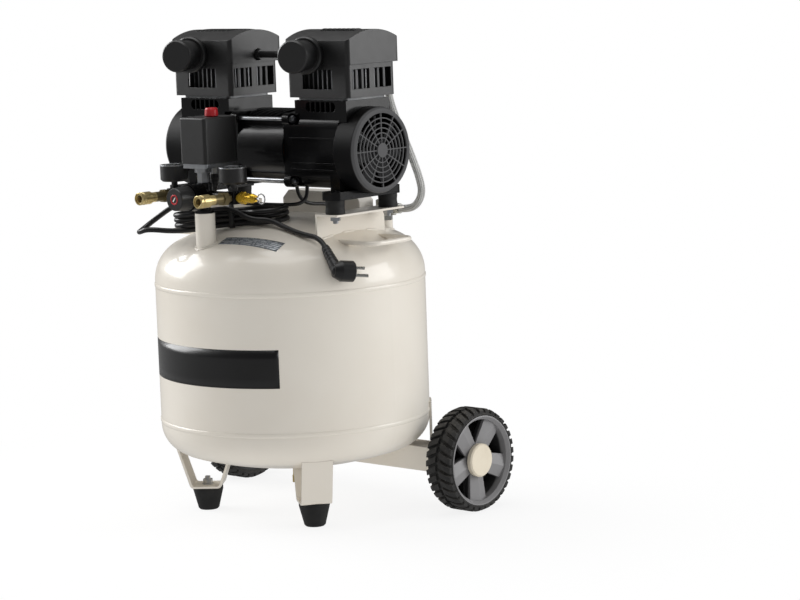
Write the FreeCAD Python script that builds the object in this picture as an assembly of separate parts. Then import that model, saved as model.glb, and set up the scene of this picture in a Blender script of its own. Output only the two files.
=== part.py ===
import FreeCAD, Part
import math
import os

# Oil-free air compressor: a twin-cylinder motor pump on rubber mounts over an upright
# receiver tank with two front feet and two rear wheels. Millimetres, Z up, X to the right
# along the motor shaft and the wheel axles, Y to the back.

V = FreeCAD.Vector
X_AXIS = V(1, 0, 0)
Y_AXIS = V(0, 1, 0)
Z_AXIS = V(0, 0, 1)

# Tank
TANK_R = 199.0
TANK_WALL = 2.5
LOWER_RIM_Z = 138.0
RIM_SPACING = 212.0
DOME_FLANGE = 6.0
SEAM_CHAMFER = 1.0
TOP_CROWN_R = 398.0
TOP_KNUCKLE_R = 60.0
BOTTOM_CROWN_R = 540.0
BOTTOM_KNUCKLE_R = 45.0

# Front legs and feet
LEG_X = 109.0
LEG_Y = -82.0
LEG_WIDTH = 45.0
LEG_FLAT = 45.0
LEG_FLARE_OUT = 18.0
LEG_FLARE_IN = 16.0
LEG_THICK = 3.0
LEG_BEND_R = 7.0
FOOT_HEIGHT = 34.0
FOOT_TOP_R = 22.5
FOOT_BOTTOM_R = 15.5
FOOT_BOLT_R = 4.0

# Rear wheels and axle beam
WHEEL_R = 76.0
TYRE_WIDTH = 47.0
WHEEL_OUTER_X = 257.0
AXLE_Y = 121.5
AXLE_R = 6.0
RUNNING_GAP = 0.06
TREAD_DEPTH = 5.0
TREAD_LUGS = 34
LUG_WIDTH = 7.6
LUG_SLANT = 24.0
TREAD_BASE_GAP = 6.0
TYRE_HEIGHT = 11.0
RIM_LIP_R = WHEEL_R - TYRE_HEIGHT
RIM_WALL = 3.5
HUB_R = 17.0
HUB_INSET = 8.0
SPOKES = 5
SPOKE_WIDTH = 26.0
SPOKE_RIM_WIDTH = 36.0
SPOKE_RIDGE = 4.0
SPOKE_THICK = 14.0
SPOKE_INSET = 6.5
SPOKE_HUB_INSET = 1.0
WEB_THICK = 3.0
WEB_INSET = 7.0
HUB_CAP_R = 24.5
HUB_CAP_THICK = 7.0
HUB_CAP_INSET = 0.6
BEAM_DEPTH = 44.0
BEAM_HEIGHT = 36.0
BEAM_OVER_AXLE = 14.0
BEAM_TOP_Z = WHEEL_R + BEAM_OVER_AXLE
BEAM_WALL = 3.0
BEAM_END_GAP = 5.0
TAB_WIDTH = 40.0
TAB_OVER_SEAM = 11.0

# Saddle brackets and rubber mounts
SADDLE_X = 126.0
SADDLE_RISE = 31.2
SADDLE_LENGTH = 143.4
SADDLE_FLANGE = 42.0
SADDLE_THICK = 3.0
MOUNT_X = 148.0
MOUNT_Y = 56.0
MOUNT_R = 14.0
MOUNT_HEIGHT = 20.0
MOUNT_WAIST = 0.6
MOUNT_STUD_R = 4.0

# Motor and crankcases
AXIS_OVER_MOUNTS = 67.4
STATOR_R = 54.0
STATOR_HALF = 46.0
MOTOR_SHELL_WALL = 3.0
MOTOR_RIBS = 7
MOTOR_RIB_HEIGHT = 3.2
MOTOR_RIB_WIDTH = 4.5
MOTOR_RIB_PITCH = 12.0
MOTOR_RIB_ANGLE = 38.0
MOTOR_RIB_REACH = 33.0
STATOR_BORE_R = 34.5
AIR_GAP = 0.6
CORE_HALF = 30.0
WINDING_LENGTH = 13.0
SHAFT_R = 8.5
CASE_OUTER_X = 163.0
CASE_HALF_Y = 50.0
CASE_HALF_Z = 54.0
CASE_CORNER_R = 22.0
CASE_END_WALL = 9.0
CRANK_CHAMBER_R = 45.0
TIE_ROD_OFFSET = 44.5
TIE_ROD_R = 3.0
ROD_HOLE_GAP = 0.3
EAR_R = 9.0
EAR_LENGTH = 12.0
BEARING_R = 17.5
BEARING_WIDTH = 11.0
CASE_FOOT_THICK = 12.0
CASE_FOOT_WIDTH = 34.0

# Cylinders and heads
HEAD_X = 117.0
NECK_X = 100.0
NECK_Y = 92.0
NECK_HEIGHT = 18.4
NECK_WALL = 4.0
NECK_SLOTS = 6
NECK_BAR = 2.4
NECK_VENT_WIDTH = 58.0
NECK_VENT_HEIGHT = 14.0
CYLINDER_BORE_R = 30.0
CYLINDER_WALL = 3.5
VALVE_PLATE_THICK = 4.0
VALVE_PLATE_INSET = 3.0
SHROUD_X = 118.4
SHROUD_Y = 98.8
SHROUD_HEIGHT = 47.0
SHROUD_WALL = 2.5
SHROUD_CORNER_R = 6.0
WINDOW_LOW = 12.0
WINDOW_HIGH = 40.0
FRONT_WINDOW_WIDTH = 59.0
SIDE_WINDOW_WIDTH = 36.0
SIDE_WINDOW_GAP = 10.0
FIN_PITCH = 9.0
FIN_THICK = 2.4
FIN_DEPTH = 8.0
FINNED_HEAD_X = 96.0
FINNED_HEAD_Y = 78.0
FINNED_HEAD_HEIGHT = 62.0
CAP_X = 124.0
CAP_Y = 108.0
CAP_SHIFT_Y = 3.0
CAP_SIDE_HEIGHT = 34.0
CAP_ARCH = 14.0
CAP_RIB_HEIGHT = 1.0
CAP_RIB_WIDTH = 2.2
CAP_WALL = 2.5
CAP_SLOTS = 7
CAP_SLOT_PITCH = 9.0
CAP_SLOT_WIDTH = 3.0
CAP_SLOT_LENGTH = 44.0
CAP_SLOT_ANGLE = 28.0

# Intake filters
FILTER_ANGLE = 18.0
FILTER_SHIFT_X = -13.0
FILTER_RISE = 14.0
FILTER_NECK_R = 21.0
FILTER_RING_R = 26.7
FILTER_RING_THICK = 9.0
FILTER_RING_START = 9.0
FILTER_NECK_IN = 8.0
FILTER_BODY_R = 21.5
FILTER_CAP_R = 23.4
FILTER_CAP_THICK = 14.0
FILTER_REACH = 57.0
FILTER_WALL = 2.5

# Fans and fan covers
COVER_R = 61.7
COVER_END_X = 192.3
COVER_WALL = 2.5
COVER_LAP = 10.0
GRILLE_R = 52.8
GRILLE_THICK = 2.4
GRILLE_RINGS = 6
GRILLE_SPOKES = 12
GRILLE_BAR = 1.6
GRILLE_HUB_R = 10.5
FAN_R = 49.0
FAN_BLADES = 7
FAN_HUB_R = 13.0
FAN_BLADE_THICK = 1.8
FAN_BLADE_PITCH = 38.0
FAN_DEPTH = 14.0
FAN_COVER_GAP = 4.0

# Crank and pistons
CRANK_THROW = 6.0
ECCENTRIC_R = 19.0
COUNTERWEIGHT_R = 31.0
COUNTERWEIGHT_THICK = 8.0
BIG_END_GAP = 0.5
BIG_END_WIDTH = 12.0
ROD_WIDTH = 14.0
ROD_THICK = 8.0
PISTON_GAP = 0.3
PISTON_THICK = 9.0

# Crossover tube between the heads
CROSS_Y = 8.0
CROSS_RISE = 11.0
CROSS_TUBE_R = 5.0
CROSS_NUT_R = 8.5
CROSS_NUT_LENGTH = 12.0

# Capacitor box
CAP_BOX_LEFT_X = -86.0
CAP_BOX_RIGHT_X = 70.0
CAP_BOX_Y = 30.0
CAP_BOX_FRONT_Y = 80.0
CAP_BOX_TOP_OVER_SADDLE = 14.0
CAP_BOX_CHAMFER = 12.0
CAP_BOX_WALL = 2.5
CAPACITOR_R = 11.5
CAPACITOR_LENGTH = 58.0

# Check valve and delivery hose
VALVE_X = 90.0
VALVE_Y = 112.0
VALVE_SOCKET_R = 12.0
VALVE_SOCKET_HEIGHT = 10.0
VALVE_BODY_R = 11.0
VALVE_BODY_HEIGHT = 30.0
VALVE_PORT_DROP = 12.0
HOSE_R = 5.6
HOSE_FERRULE_R = 7.5
HOSE_START_OUT = 32.0
HOSE_BEHIND_CAP = 40.0
HOSE_END_DROP = 17.0
HOSE_BEND_RUN = 22.0
HOSE_LEAN = 24.0
HOSE_CLIMB = 54.0
HOSE_SIDE = 9.0
HOSE_UPPER_DROP = 82.0
HOSE_LAST_RUN = 40.0

# Carry handles
HANDLE_BAR_R = 3.5
HANDLE_TIP_X = 208.0
HANDLE_HALF_Y = 42.0
HANDLE_Z = 409.0
HANDLE_BEND_R = 16.0

# Controls
POST_X = -19.0
POST_Y = -151.0
POST_R = 14.5
POST_WALL = 3.0
POST_HEIGHT = 45.0
NIPPLE_R = 8.5
NIPPLE_HEIGHT = 12.0
MANIFOLD_R = 13.0
MANIFOLD_HEIGHT = 32.0
PORT_RISE = 12.5
ARM_REACH = 60.0
ARM_R = 8.0
ELBOW_SIZE = 18.0
BONNET_R = 20.0
BONNET_END = 34.0
REG_KNOB_R = 18.0
REG_KNOB_FACE_R = 15.2
REG_KNOB_FLUTES = 18
REG_FLUTE_R = 1.3
REG_KNOB_LENGTH = 25.0
KNOB_GAP = 0.4
COUPLER_LENGTH = 56.0
COUPLER_REACH = 72.0
COUPLER_R = 7.2
COUPLER_SLEEVE_R = 9.2
COUPLER_SLEEVE_LENGTH = 22.0
COUPLER_TRAVEL = 4.0
COUPLER_BORE_R = 5.2
COUPLER_BORE_DEPTH = 24.0
GAUGE_R = 20.0
GAUGE_HEIGHT = 24.0
GAUGE_RISE = 19.5
GAUGE_STEM_R = 4.5
GAUGE_WALL = 1.8
GAUGE_DIAL_DROP = 5.0
GAUGE_LENS_THICK = 1.6
NEEDLE_LENGTH = 13.0
NEEDLE_WIDTH = 1.4
NEEDLE_TAIL = 4.5
SAFETY_START = 70.0
SAFETY_LENGTH = 34.0
SAFETY_R = 7.8
SAFETY_RING_R = 7.0
SAFETY_RING_BAR = 0.9
SAFETY_PIN_R = 2.0
SAFETY_TRAVEL = 3.0

# Pressure switch
SWITCH_NIPPLE_R = 7.5
SWITCH_BASE_Z_OVER_PORT = 40.5
SWITCH_X = 52.0
SWITCH_Y = 66.0
SWITCH_SHIFT_Y = 14.0
SWITCH_HEIGHT = 66.0
SWITCH_BASE_THICK = 6.5
SWITCH_CORNER_R = 5.0
SWITCH_WALL = 2.0
SWITCH_KNOB_R = 9.8
SWITCH_KNOB_HEIGHT = 12.0
SWITCH_KNOB_SIT = 0.8
SWITCH_KNOB_SHIFT_X = 11.0
SWITCH_KNOB_SHIFT_Y = -3.0
SWITCH_STEM_R = 3.5
CONTACTS_HEIGHT = 26.0
SPRING_R = 6.0
SPRING_HEIGHT = 14.0

# Power cord
GLAND_R = 7.5
GLAND_LENGTH = 12.0
GLAND_SHIFT_X = 13.0
GLAND_INSET = 12.0
CORD_R = 3.8
CORD_LOOP_R = 26.0
CORD_LOOP_OUT = 26.0
CORD_DROP = 22.0
CORD_BEND_DROP = 40.0
CORD_BEND_SIDE = 16.0
CORD_FAR_DROP = 47.0
CORD_FAR_SIDE = 42.0
CORD_CREST = 30.0
LEAD_R = 2.8
LEAD_DROP = 20.0
LEAD_BEND_DROP = 42.0
LEAD_RISE = 12.0
HANK_X = -22.5
HANK_Y = -93.5
HANK_TURN = 41.5
HANK_TILT = 3.5
HANK_LENGTH = 168.0
HANK_WIDTH = 53.0
HANK_THICK = 20.0
HANK_LIFT = 1.0
PLUG_LENGTH = 30.0
PLUG_R = 15.0
PLUG_BACK_R = 9.5
PLUG_AROUND = -25.2
PLUG_SLOPE = 19.4
PLUG_SWING = 7.0
PLUG_ROLL = 42.0
PLUG_LEAD_X = 153.0
PLUG_LEAD_Y = -85.4
PLUG_LEAD_LIFT = 9.1
PLUG_STRAIGHT = 18.0
PIN_R = 2.4
PIN_LENGTH = 19.0
PIN_SPACING = 19.0

# Drain valve
DRAIN_BOSS_R = 13.0
DRAIN_BOSS_HEIGHT = 8.0
DRAIN_BODY_R = 7.0
DRAIN_BODY_HEIGHT = 12.0
DRAIN_KNOB_R = 9.0
DRAIN_KNOB_HEIGHT = 10.0


def cylinder(radius, length, base, axis=Z_AXIS):
    """A plain cylinder."""
    return Part.makeCylinder(radius, length, base, axis)


def tube(outer, inner, length, base, axis=Z_AXIS):
    """A round tube with square ends."""
    return cylinder(outer, length, base, axis).cut(cylinder(inner, length, base, axis))


def block(x0, x1, y0, y1, z0, z1):
    """A box between two corners."""
    return Part.makeBox(x1 - x0, y1 - y0, z1 - z0, V(x0, y0, z0))


def rounded_block(x0, x1, y0, y1, z0, z1, radius):
    """A box with its upright edges rounded."""
    solid = block(x0, x1, y0, y1, z0, z1)
    upright = [e for e in solid.Edges if abs(e.tangentAt(e.FirstParameter).z) > 0.9]
    return solid.makeFillet(radius, upright)


def face_of(points):
    """A flat face inside a closed outline of straight runs."""
    return Part.Face(Part.makePolygon(points + points[:1]))


def hexagon(across, length, base, axis):
    """A hexagonal bar, as on nuts and fittings."""
    radius = across / math.sqrt(3)
    corners = []
    for k in range(6):
        turn = math.radians(60 * k)
        corners.append(V(radius * math.cos(turn), radius * math.sin(turn), 0))
    bar = face_of(corners).extrude(V(0, 0, length))
    bar.Placement = FreeCAD.Placement(base, FreeCAD.Rotation(Z_AXIS, axis))
    return bar


def lathe(outline, base, axis):
    """Turn an outline of (radius, height) points about an axis."""
    turned = face_of([V(r, 0, h) for r, h in outline]).revolve(V(0, 0, 0), Z_AXIS, 360)
    turned.Placement = FreeCAD.Placement(base, FreeCAD.Rotation(Z_AXIS, axis))
    return turned


def joined(shapes):
    """One solid from pieces that overlap or touch face to face."""
    whole = shapes[0].fuse(shapes[1:]) if len(shapes) > 1 else shapes[0]
    return whole.removeSplitter()


def mirrored(shape):
    """The same piece on the other side of the machine."""
    return shape.mirror(V(0, 0, 0), X_AXIS)


def arc(start, middle, end):
    """An arc edge through three points."""
    return Part.Arc(start, middle, end).toShape()


def dome_profile(crown, knuckle, radius, flange):
    """Points of a dished end: flange top, knuckle middle and end, crown middle and apex."""
    reach = radius - knuckle
    sweep = math.asin(reach / (crown - knuckle))
    height = crown - (crown - knuckle) * math.cos(sweep)
    drop = flange + height - crown
    half = (math.pi / 2 + sweep) / 2
    return [
        V(radius, 0, flange),
        V(reach + knuckle * math.sin(half), 0, flange + knuckle * math.cos(half)),
        V(crown * math.sin(sweep), 0, drop + crown * math.cos(sweep)),
        V(crown * math.sin(sweep / 2), 0, drop + crown * math.cos(sweep / 2)),
        V(0, 0, flange + height),
    ]


def dome_filled(crown, knuckle, radius, flange):
    """The solid under a dished end, standing on its rim at height zero."""
    p = dome_profile(crown, knuckle, radius, flange)
    edges = [
        Part.LineSegment(V(0, 0, 0), V(radius, 0, 0)).toShape(),
        Part.LineSegment(V(radius, 0, 0), p[0]).toShape(),
        arc(p[0], p[1], p[2]),
        arc(p[2], p[3], p[4]),
        Part.LineSegment(p[4], V(0, 0, 0)).toShape(),
    ]
    return Part.Face(Part.Wire(edges)).revolve(V(0, 0, 0), Z_AXIS, 360)


def dome_shell(crown, knuckle):
    """A dished end with its wall, standing on its rim at height zero."""
    outer = dome_filled(crown, knuckle, TANK_R, DOME_FLANGE)
    inner = dome_filled(crown - TANK_WALL, knuckle - TANK_WALL, TANK_R - TANK_WALL, DOME_FLANGE)
    groove = lathe(
        [(TANK_R - SEAM_CHAMFER, 0), (TANK_R + 1, -1), (TANK_R + 1, SEAM_CHAMFER + 1)], V(0, 0, 0), Z_AXIS)
    return outer.cut(inner).cut(groove)


def dome_height(radius, crown, knuckle):
    """Height of a dished end's skin over the start of its knuckle, at a distance from the axis."""
    reach = TANK_R - knuckle
    sweep = math.asin(reach / (crown - knuckle))
    if radius < crown * math.sin(sweep):
        return math.sqrt(crown ** 2 - radius ** 2) - (crown - knuckle) * math.cos(sweep)
    return math.sqrt(knuckle ** 2 - (radius - reach) ** 2)


UPPER_RIM_Z = LOWER_RIM_Z + RIM_SPACING
LOWER_SEAM_Z = LOWER_RIM_Z + DOME_FLANGE
UPPER_SEAM_Z = UPPER_RIM_Z - DOME_FLANGE


def top_skin(x, y):
    """Height of the tank's top skin over a point of the floor."""
    return UPPER_RIM_Z + dome_height(math.hypot(x, y), TOP_CROWN_R, TOP_KNUCKLE_R)


def bottom_skin(x, y):
    """Height of the tank's bottom skin over a point of the floor."""
    return LOWER_RIM_Z - dome_height(math.hypot(x, y), BOTTOM_CROWN_R, BOTTOM_KNUCKLE_R)


# Heights and places that follow from the sizes above
SADDLE_TOP_Z = top_skin(SADDLE_X, 0) + SADDLE_RISE
MOUNT_TOP_Z = SADDLE_TOP_Z + MOUNT_HEIGHT
AXIS_Z = MOUNT_TOP_Z + AXIS_OVER_MOUNTS
DECK_Z = AXIS_Z + CASE_HALF_Z
NECK_TOP_Z = DECK_Z + NECK_HEIGHT
SHROUD_BASE_Z = NECK_TOP_Z + VALVE_PLATE_THICK
SHROUD_TOP_Z = SHROUD_BASE_Z + SHROUD_HEIGHT
FILTER_Z = SHROUD_TOP_Z + FILTER_RISE
CROSS_Z = SHROUD_TOP_Z + CROSS_RISE
POST_TOP_Z = top_skin(POST_X, POST_Y) + POST_HEIGHT
MANIFOLD_Z = POST_TOP_Z + NIPPLE_HEIGHT
PORT_Z = MANIFOLD_Z + PORT_RISE
GAUGE_Z = PORT_Z + GAUGE_RISE
GAUGE_TOP_Z = GAUGE_Z + GAUGE_HEIGHT
SWITCH_BASE_Z = PORT_Z + SWITCH_BASE_Z_OVER_PORT
SWITCH_COVER_Z = SWITCH_BASE_Z + SWITCH_BASE_THICK
SWITCH_TOP_Z = SWITCH_COVER_Z + SWITCH_HEIGHT
COUPLER_FACE_Y = POST_Y - COUPLER_REACH
FAN_X = COVER_END_X - GRILLE_THICK - FAN_COVER_GAP - FAN_DEPTH
BOTTOM_APEX_Z = bottom_skin(0, 0)
GLAND_X = POST_X - GLAND_SHIFT_X
LEAD_X = POST_X + GLAND_SHIFT_X
MIDDLE_Y = (TANK_R + COUPLER_FACE_Y) / 2

TOP_FILLED = dome_filled(TOP_CROWN_R, TOP_KNUCKLE_R, TANK_R, DOME_FLANGE)
TOP_FILLED.translate(V(0, 0, UPPER_SEAM_Z))
BOTTOM_FILLED = dome_filled(BOTTOM_CROWN_R, BOTTOM_KNUCKLE_R, TANK_R, DOME_FLANGE)
BOTTOM_FILLED.rotate(V(0, 0, 0), X_AXIS, 180)
BOTTOM_FILLED.translate(V(0, 0, LOWER_SEAM_Z))


# Tank

def tank_shell():
    """The rolled middle of the tank, with a weld groove at each end."""
    half = UPPER_SEAM_Z - LOWER_SEAM_Z
    outline = [
        (TANK_R - TANK_WALL, 0),
        (TANK_R - SEAM_CHAMFER, 0),
        (TANK_R, SEAM_CHAMFER),
        (TANK_R, half - SEAM_CHAMFER),
        (TANK_R - SEAM_CHAMFER, half),
        (TANK_R - TANK_WALL, half),
    ]
    return lathe(outline, V(0, 0, LOWER_SEAM_Z), Z_AXIS)


def tank_top():
    """The upper dished end, drilled for the outlet post and the check valve."""
    dome = dome_shell(TOP_CROWN_R, TOP_KNUCKLE_R)
    dome.translate(V(0, 0, UPPER_SEAM_Z))
    reach = TOP_CROWN_R
    dome = dome.cut(cylinder(POST_R - POST_WALL, reach, V(POST_X, POST_Y, UPPER_RIM_Z)))
    return dome.cut(cylinder(VALVE_SOCKET_R / 2, reach, V(VALVE_X, VALVE_Y, UPPER_RIM_Z)))


def tank_bottom():
    """The lower dished end, drilled for the drain."""
    dome = dome_shell(BOTTOM_CROWN_R, BOTTOM_KNUCKLE_R)
    dome.rotate(V(0, 0, 0), X_AXIS, 180)
    dome.translate(V(0, 0, LOWER_SEAM_Z))
    return dome.cut(cylinder(DRAIN_BODY_R / 2, LOWER_RIM_Z, V(0, 0, 0)))


def outlet_post():
    """The pipe that carries the controls, cut to the tank's skin."""
    foot_z = top_skin(POST_X, POST_Y) - POST_R
    post = tube(POST_R, POST_R - POST_WALL, POST_TOP_Z - foot_z, V(POST_X, POST_Y, foot_z))
    return post.cut(TOP_FILLED)


def drain_boss():
    """The welded socket of the drain valve."""
    boss = tube(DRAIN_BOSS_R, DRAIN_BODY_R / 2, DRAIN_BOSS_HEIGHT * 2, V(0, 0, BOTTOM_APEX_Z - DRAIN_BOSS_HEIGHT))
    return boss.cut(BOTTOM_FILLED)


def drain_body():
    """The hexagonal brass seat under the boss."""
    top = BOTTOM_APEX_Z - DRAIN_BOSS_HEIGHT
    return hexagon(2 * DRAIN_BODY_R, DRAIN_BODY_HEIGHT, V(0, 0, top - DRAIN_BODY_HEIGHT), Z_AXIS)


def drain_knob():
    """The fluted knob that opens the drain."""
    top = BOTTOM_APEX_Z - DRAIN_BOSS_HEIGHT - DRAIN_BODY_HEIGHT - KNOB_GAP
    knob = cylinder(DRAIN_KNOB_R, DRAIN_KNOB_HEIGHT, V(0, 0, top - DRAIN_KNOB_HEIGHT))
    for k in range(8):
        turn = math.radians(45 * k)
        place = V(DRAIN_KNOB_R * math.cos(turn), DRAIN_KNOB_R * math.sin(turn), top - DRAIN_KNOB_HEIGHT)
        knob = knob.cut(cylinder(DRAIN_KNOB_R / 5, DRAIN_KNOB_HEIGHT, place))
    return knob


# Front legs

def leg_strap():
    """The flared U strap of the right front foot, bent from strip and cut to the tank."""
    inner = math.hypot(LEG_X, LEG_Y) - LEG_FLAT / 2
    outer = inner + LEG_FLAT
    top = LOWER_RIM_Z - BOTTOM_KNUCKLE_R / 2
    rise = top - FOOT_HEIGHT
    run_out = LEG_FLARE_OUT * rise / (bottom_skin(outer, 0) - FOOT_HEIGHT)
    run_in = LEG_FLARE_IN * rise / (bottom_skin(inner, 0) - FOOT_HEIGHT)
    t = LEG_THICK
    half = LEG_WIDTH / 2
    outside = [
        V(inner - run_in, -half, top),
        V(inner, -half, FOOT_HEIGHT),
        V(outer, -half, FOOT_HEIGHT),
        V(outer + run_out, -half, top),
    ]
    hollow = [
        V(inner - run_in + t, -half, top),
        V(inner + t, -half, FOOT_HEIGHT + t),
        V(outer - t, -half, FOOT_HEIGHT + t),
        V(outer + run_out - t, -half, top),
    ]
    sweep = V(0, LEG_WIDTH, 0)
    body = face_of(outside).extrude(sweep)
    body = body.makeFillet(LEG_BEND_R, bends_at(body, FOOT_HEIGHT))
    gap = face_of(hollow).extrude(sweep)
    gap = gap.makeFillet(LEG_BEND_R - t, bends_at(gap, FOOT_HEIGHT + t))
    strap = body.cut(gap)
    centre = V((inner + outer) / 2, 0, FOOT_HEIGHT)
    strap = strap.cut(cylinder(FOOT_BOLT_R + 0.3, t * 2, centre))
    strap.rotate(V(0, 0, 0), Z_AXIS, math.degrees(math.atan2(LEG_Y, LEG_X)))
    return strap.cut(BOTTOM_FILLED)


def bends_at(solid, height):
    """The straight edges along Y at one height."""
    edges = []
    for edge in solid.Edges:
        level = all(abs(v.Point.z - height) < 0.01 for v in edge.Vertexes)
        if level and abs(edge.tangentAt(edge.FirstParameter).y) > 0.9:
            edges.append(edge)
    return edges


def rubber_foot():
    """The tapered rubber foot with the pocket of its bolt."""
    outline = [
        (0, 0),
        (FOOT_BOTTOM_R - 2, 0),
        (FOOT_BOTTOM_R, 2),
        (FOOT_TOP_R, FOOT_HEIGHT - 4),
        (FOOT_TOP_R, FOOT_HEIGHT),
        (0, FOOT_HEIGHT),
    ]
    foot = lathe(outline, V(LEG_X, LEG_Y, 0), Z_AXIS)
    pocket = cylinder(FOOT_BOLT_R + 0.1, FOOT_HEIGHT / 2, V(LEG_X, LEG_Y, FOOT_HEIGHT / 2))
    return foot.cut(pocket)


def foot_bolt():
    """The bolt and nut that hold a rubber foot in its strap."""
    base = V(LEG_X, LEG_Y, FOOT_HEIGHT / 2 + 0.5)
    length = FOOT_HEIGHT / 2 - 0.5 + LEG_THICK + 12
    shank = cylinder(FOOT_BOLT_R, length, base)
    seat = V(LEG_X, LEG_Y, FOOT_HEIGHT + LEG_THICK)
    washer = cylinder(FOOT_BOLT_R * 2.1, 1.5, seat)
    nut = hexagon(FOOT_BOLT_R * 3.2, 6.5, seat + V(0, 0, 1.5), Z_AXIS)
    return joined([shank, washer, nut])


# Rear axle

WHEEL_INNER_X = WHEEL_OUTER_X - TYRE_WIDTH
BEAM_HALF = WHEEL_INNER_X - BEAM_END_GAP


def axle_beam():
    """The folded channel across the back, with end plates and a saddle cut for the tank."""
    y0 = AXLE_Y - BEAM_DEPTH / 2
    y1 = AXLE_Y + BEAM_DEPTH / 2
    z0 = BEAM_TOP_Z - BEAM_HEIGHT
    t = BEAM_WALL
    beam = block(-BEAM_HALF, BEAM_HALF, y0, y1, z0, BEAM_TOP_Z)
    hollow = block(-BEAM_HALF + t, BEAM_HALF - t, y0 + t, y1 - t, z0 - t, BEAM_TOP_Z - t)
    beam = beam.cut(hollow)
    for side in (-1, 1):
        hole = cylinder(AXLE_R + RUNNING_GAP, 3 * t, V(side * (BEAM_HALF + t), AXLE_Y, WHEEL_R), V(-side, 0, 0))
        beam = beam.cut(hole)
    return beam.cut(BOTTOM_FILLED)


def beam_tab():
    """The right tab that ties the axle beam to the tank's wall."""
    turn = math.degrees(math.atan2(AXLE_Y + BEAM_DEPTH / 4, SADDLE_X + BEAM_DEPTH / 2))
    half = math.degrees(TAB_WIDTH / 2 / TANK_R)
    low = BEAM_TOP_Z
    height = LOWER_SEAM_Z + TAB_OVER_SEAM - low
    centre = V(0, 0, low)
    tab = Part.makeCylinder(TANK_R + BEAM_WALL, height, centre, Z_AXIS, 2 * half)
    tab = tab.cut(Part.makeCylinder(TANK_R, height, centre, Z_AXIS, 2 * half))
    tab.rotate(V(0, 0, 0), Z_AXIS, turn - half)
    return tab


def axle(side):
    """A shoulder bolt: head inside the beam, washer, shank through the wheel and end nut."""
    head_x = side * (BEAM_HALF - BEAM_WALL)
    out = V(side, 0, 0)
    head = hexagon(AXLE_R * 3, 6, V(head_x, AXLE_Y, WHEEL_R), V(-side, 0, 0))
    length = HUB_END_X + HUB_INSET - 3 - abs(head_x)
    shank = cylinder(AXLE_R, length, V(head_x, AXLE_Y, WHEEL_R), out)
    nut = hexagon(AXLE_R * 3, HUB_INSET / 2, V(side * (HUB_END_X + 0.3), AXLE_Y, WHEEL_R), out)
    washer = cylinder(AXLE_R * 1.9, 2, V(side * BEAM_HALF, AXLE_Y, WHEEL_R), out)
    return joined([head, shank, nut, washer])


HUB_END_X = WHEEL_OUTER_X - HUB_INSET - HUB_CAP_INSET
HUB_START_X = BEAM_HALF + 2.3


def tyre():
    """The right tyre: a band on the rim with two rows of slanted, staggered lugs."""
    width = TYRE_WIDTH
    root = WHEEL_R - TREAD_DEPTH
    band = [
        (RIM_LIP_R - 1.5, 3),
        (RIM_LIP_R + 2.5, 0),
        (root - 1.5, 2),
        (root, 6),
        (root, width - 6),
        (root - 1.5, width - 2),
        (RIM_LIP_R + 2.5, width),
        (RIM_LIP_R - 1.5, width - 3),
    ]
    base = V(WHEEL_INNER_X, 0, 0)
    body = lathe(band, base, X_AXIS)
    half = width / 2 - TREAD_BASE_GAP / 2
    crown = [(root - 4, 1), (WHEEL_R - 3, 1), (WHEEL_R, 8), (WHEEL_R, half), (root - 4, half)]
    ring = lathe(crown, V(0, 0, 0), X_AXIS)
    step = 360.0 / TREAD_LUGS
    bar = block(-2, half + 3, -LUG_WIDTH / 2, LUG_WIDTH / 2, root - 6, WHEEL_R + 2)
    bar.rotate(V(half / 2, 0, 0), Z_AXIS, LUG_SLANT)
    bars = []
    for k in range(TREAD_LUGS):
        turned = bar.copy()
        turned.rotate(V(0, 0, 0), X_AXIS, step * k)
        bars.append(turned)
    near = ring.common(Part.makeCompound(bars))
    far = near.mirror(V(0, 0, 0), X_AXIS)
    far.translate(V(width, 0, 0))
    far.rotate(V(0, 0, 0), X_AXIS, step / 2)
    lugs = []
    for row in (near, far):
        row.translate(base)
        lugs.extend(row.Solids)
    body = body.fuse(lugs).removeSplitter()
    body.translate(V(0, AXLE_Y, WHEEL_R))
    return body


def spoke_section(z, face_x, half):
    """The ridged outline of a spoke at a height over the hub's axis."""
    back = face_x - SPOKE_THICK
    side = face_x - SPOKE_RIDGE
    return Part.makePolygon([
        V(back, -half, z),
        V(side, -half, z),
        V(face_x, 0, z),
        V(side, half, z),
        V(back, half, z),
        V(back, -half, z),
    ])


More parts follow.
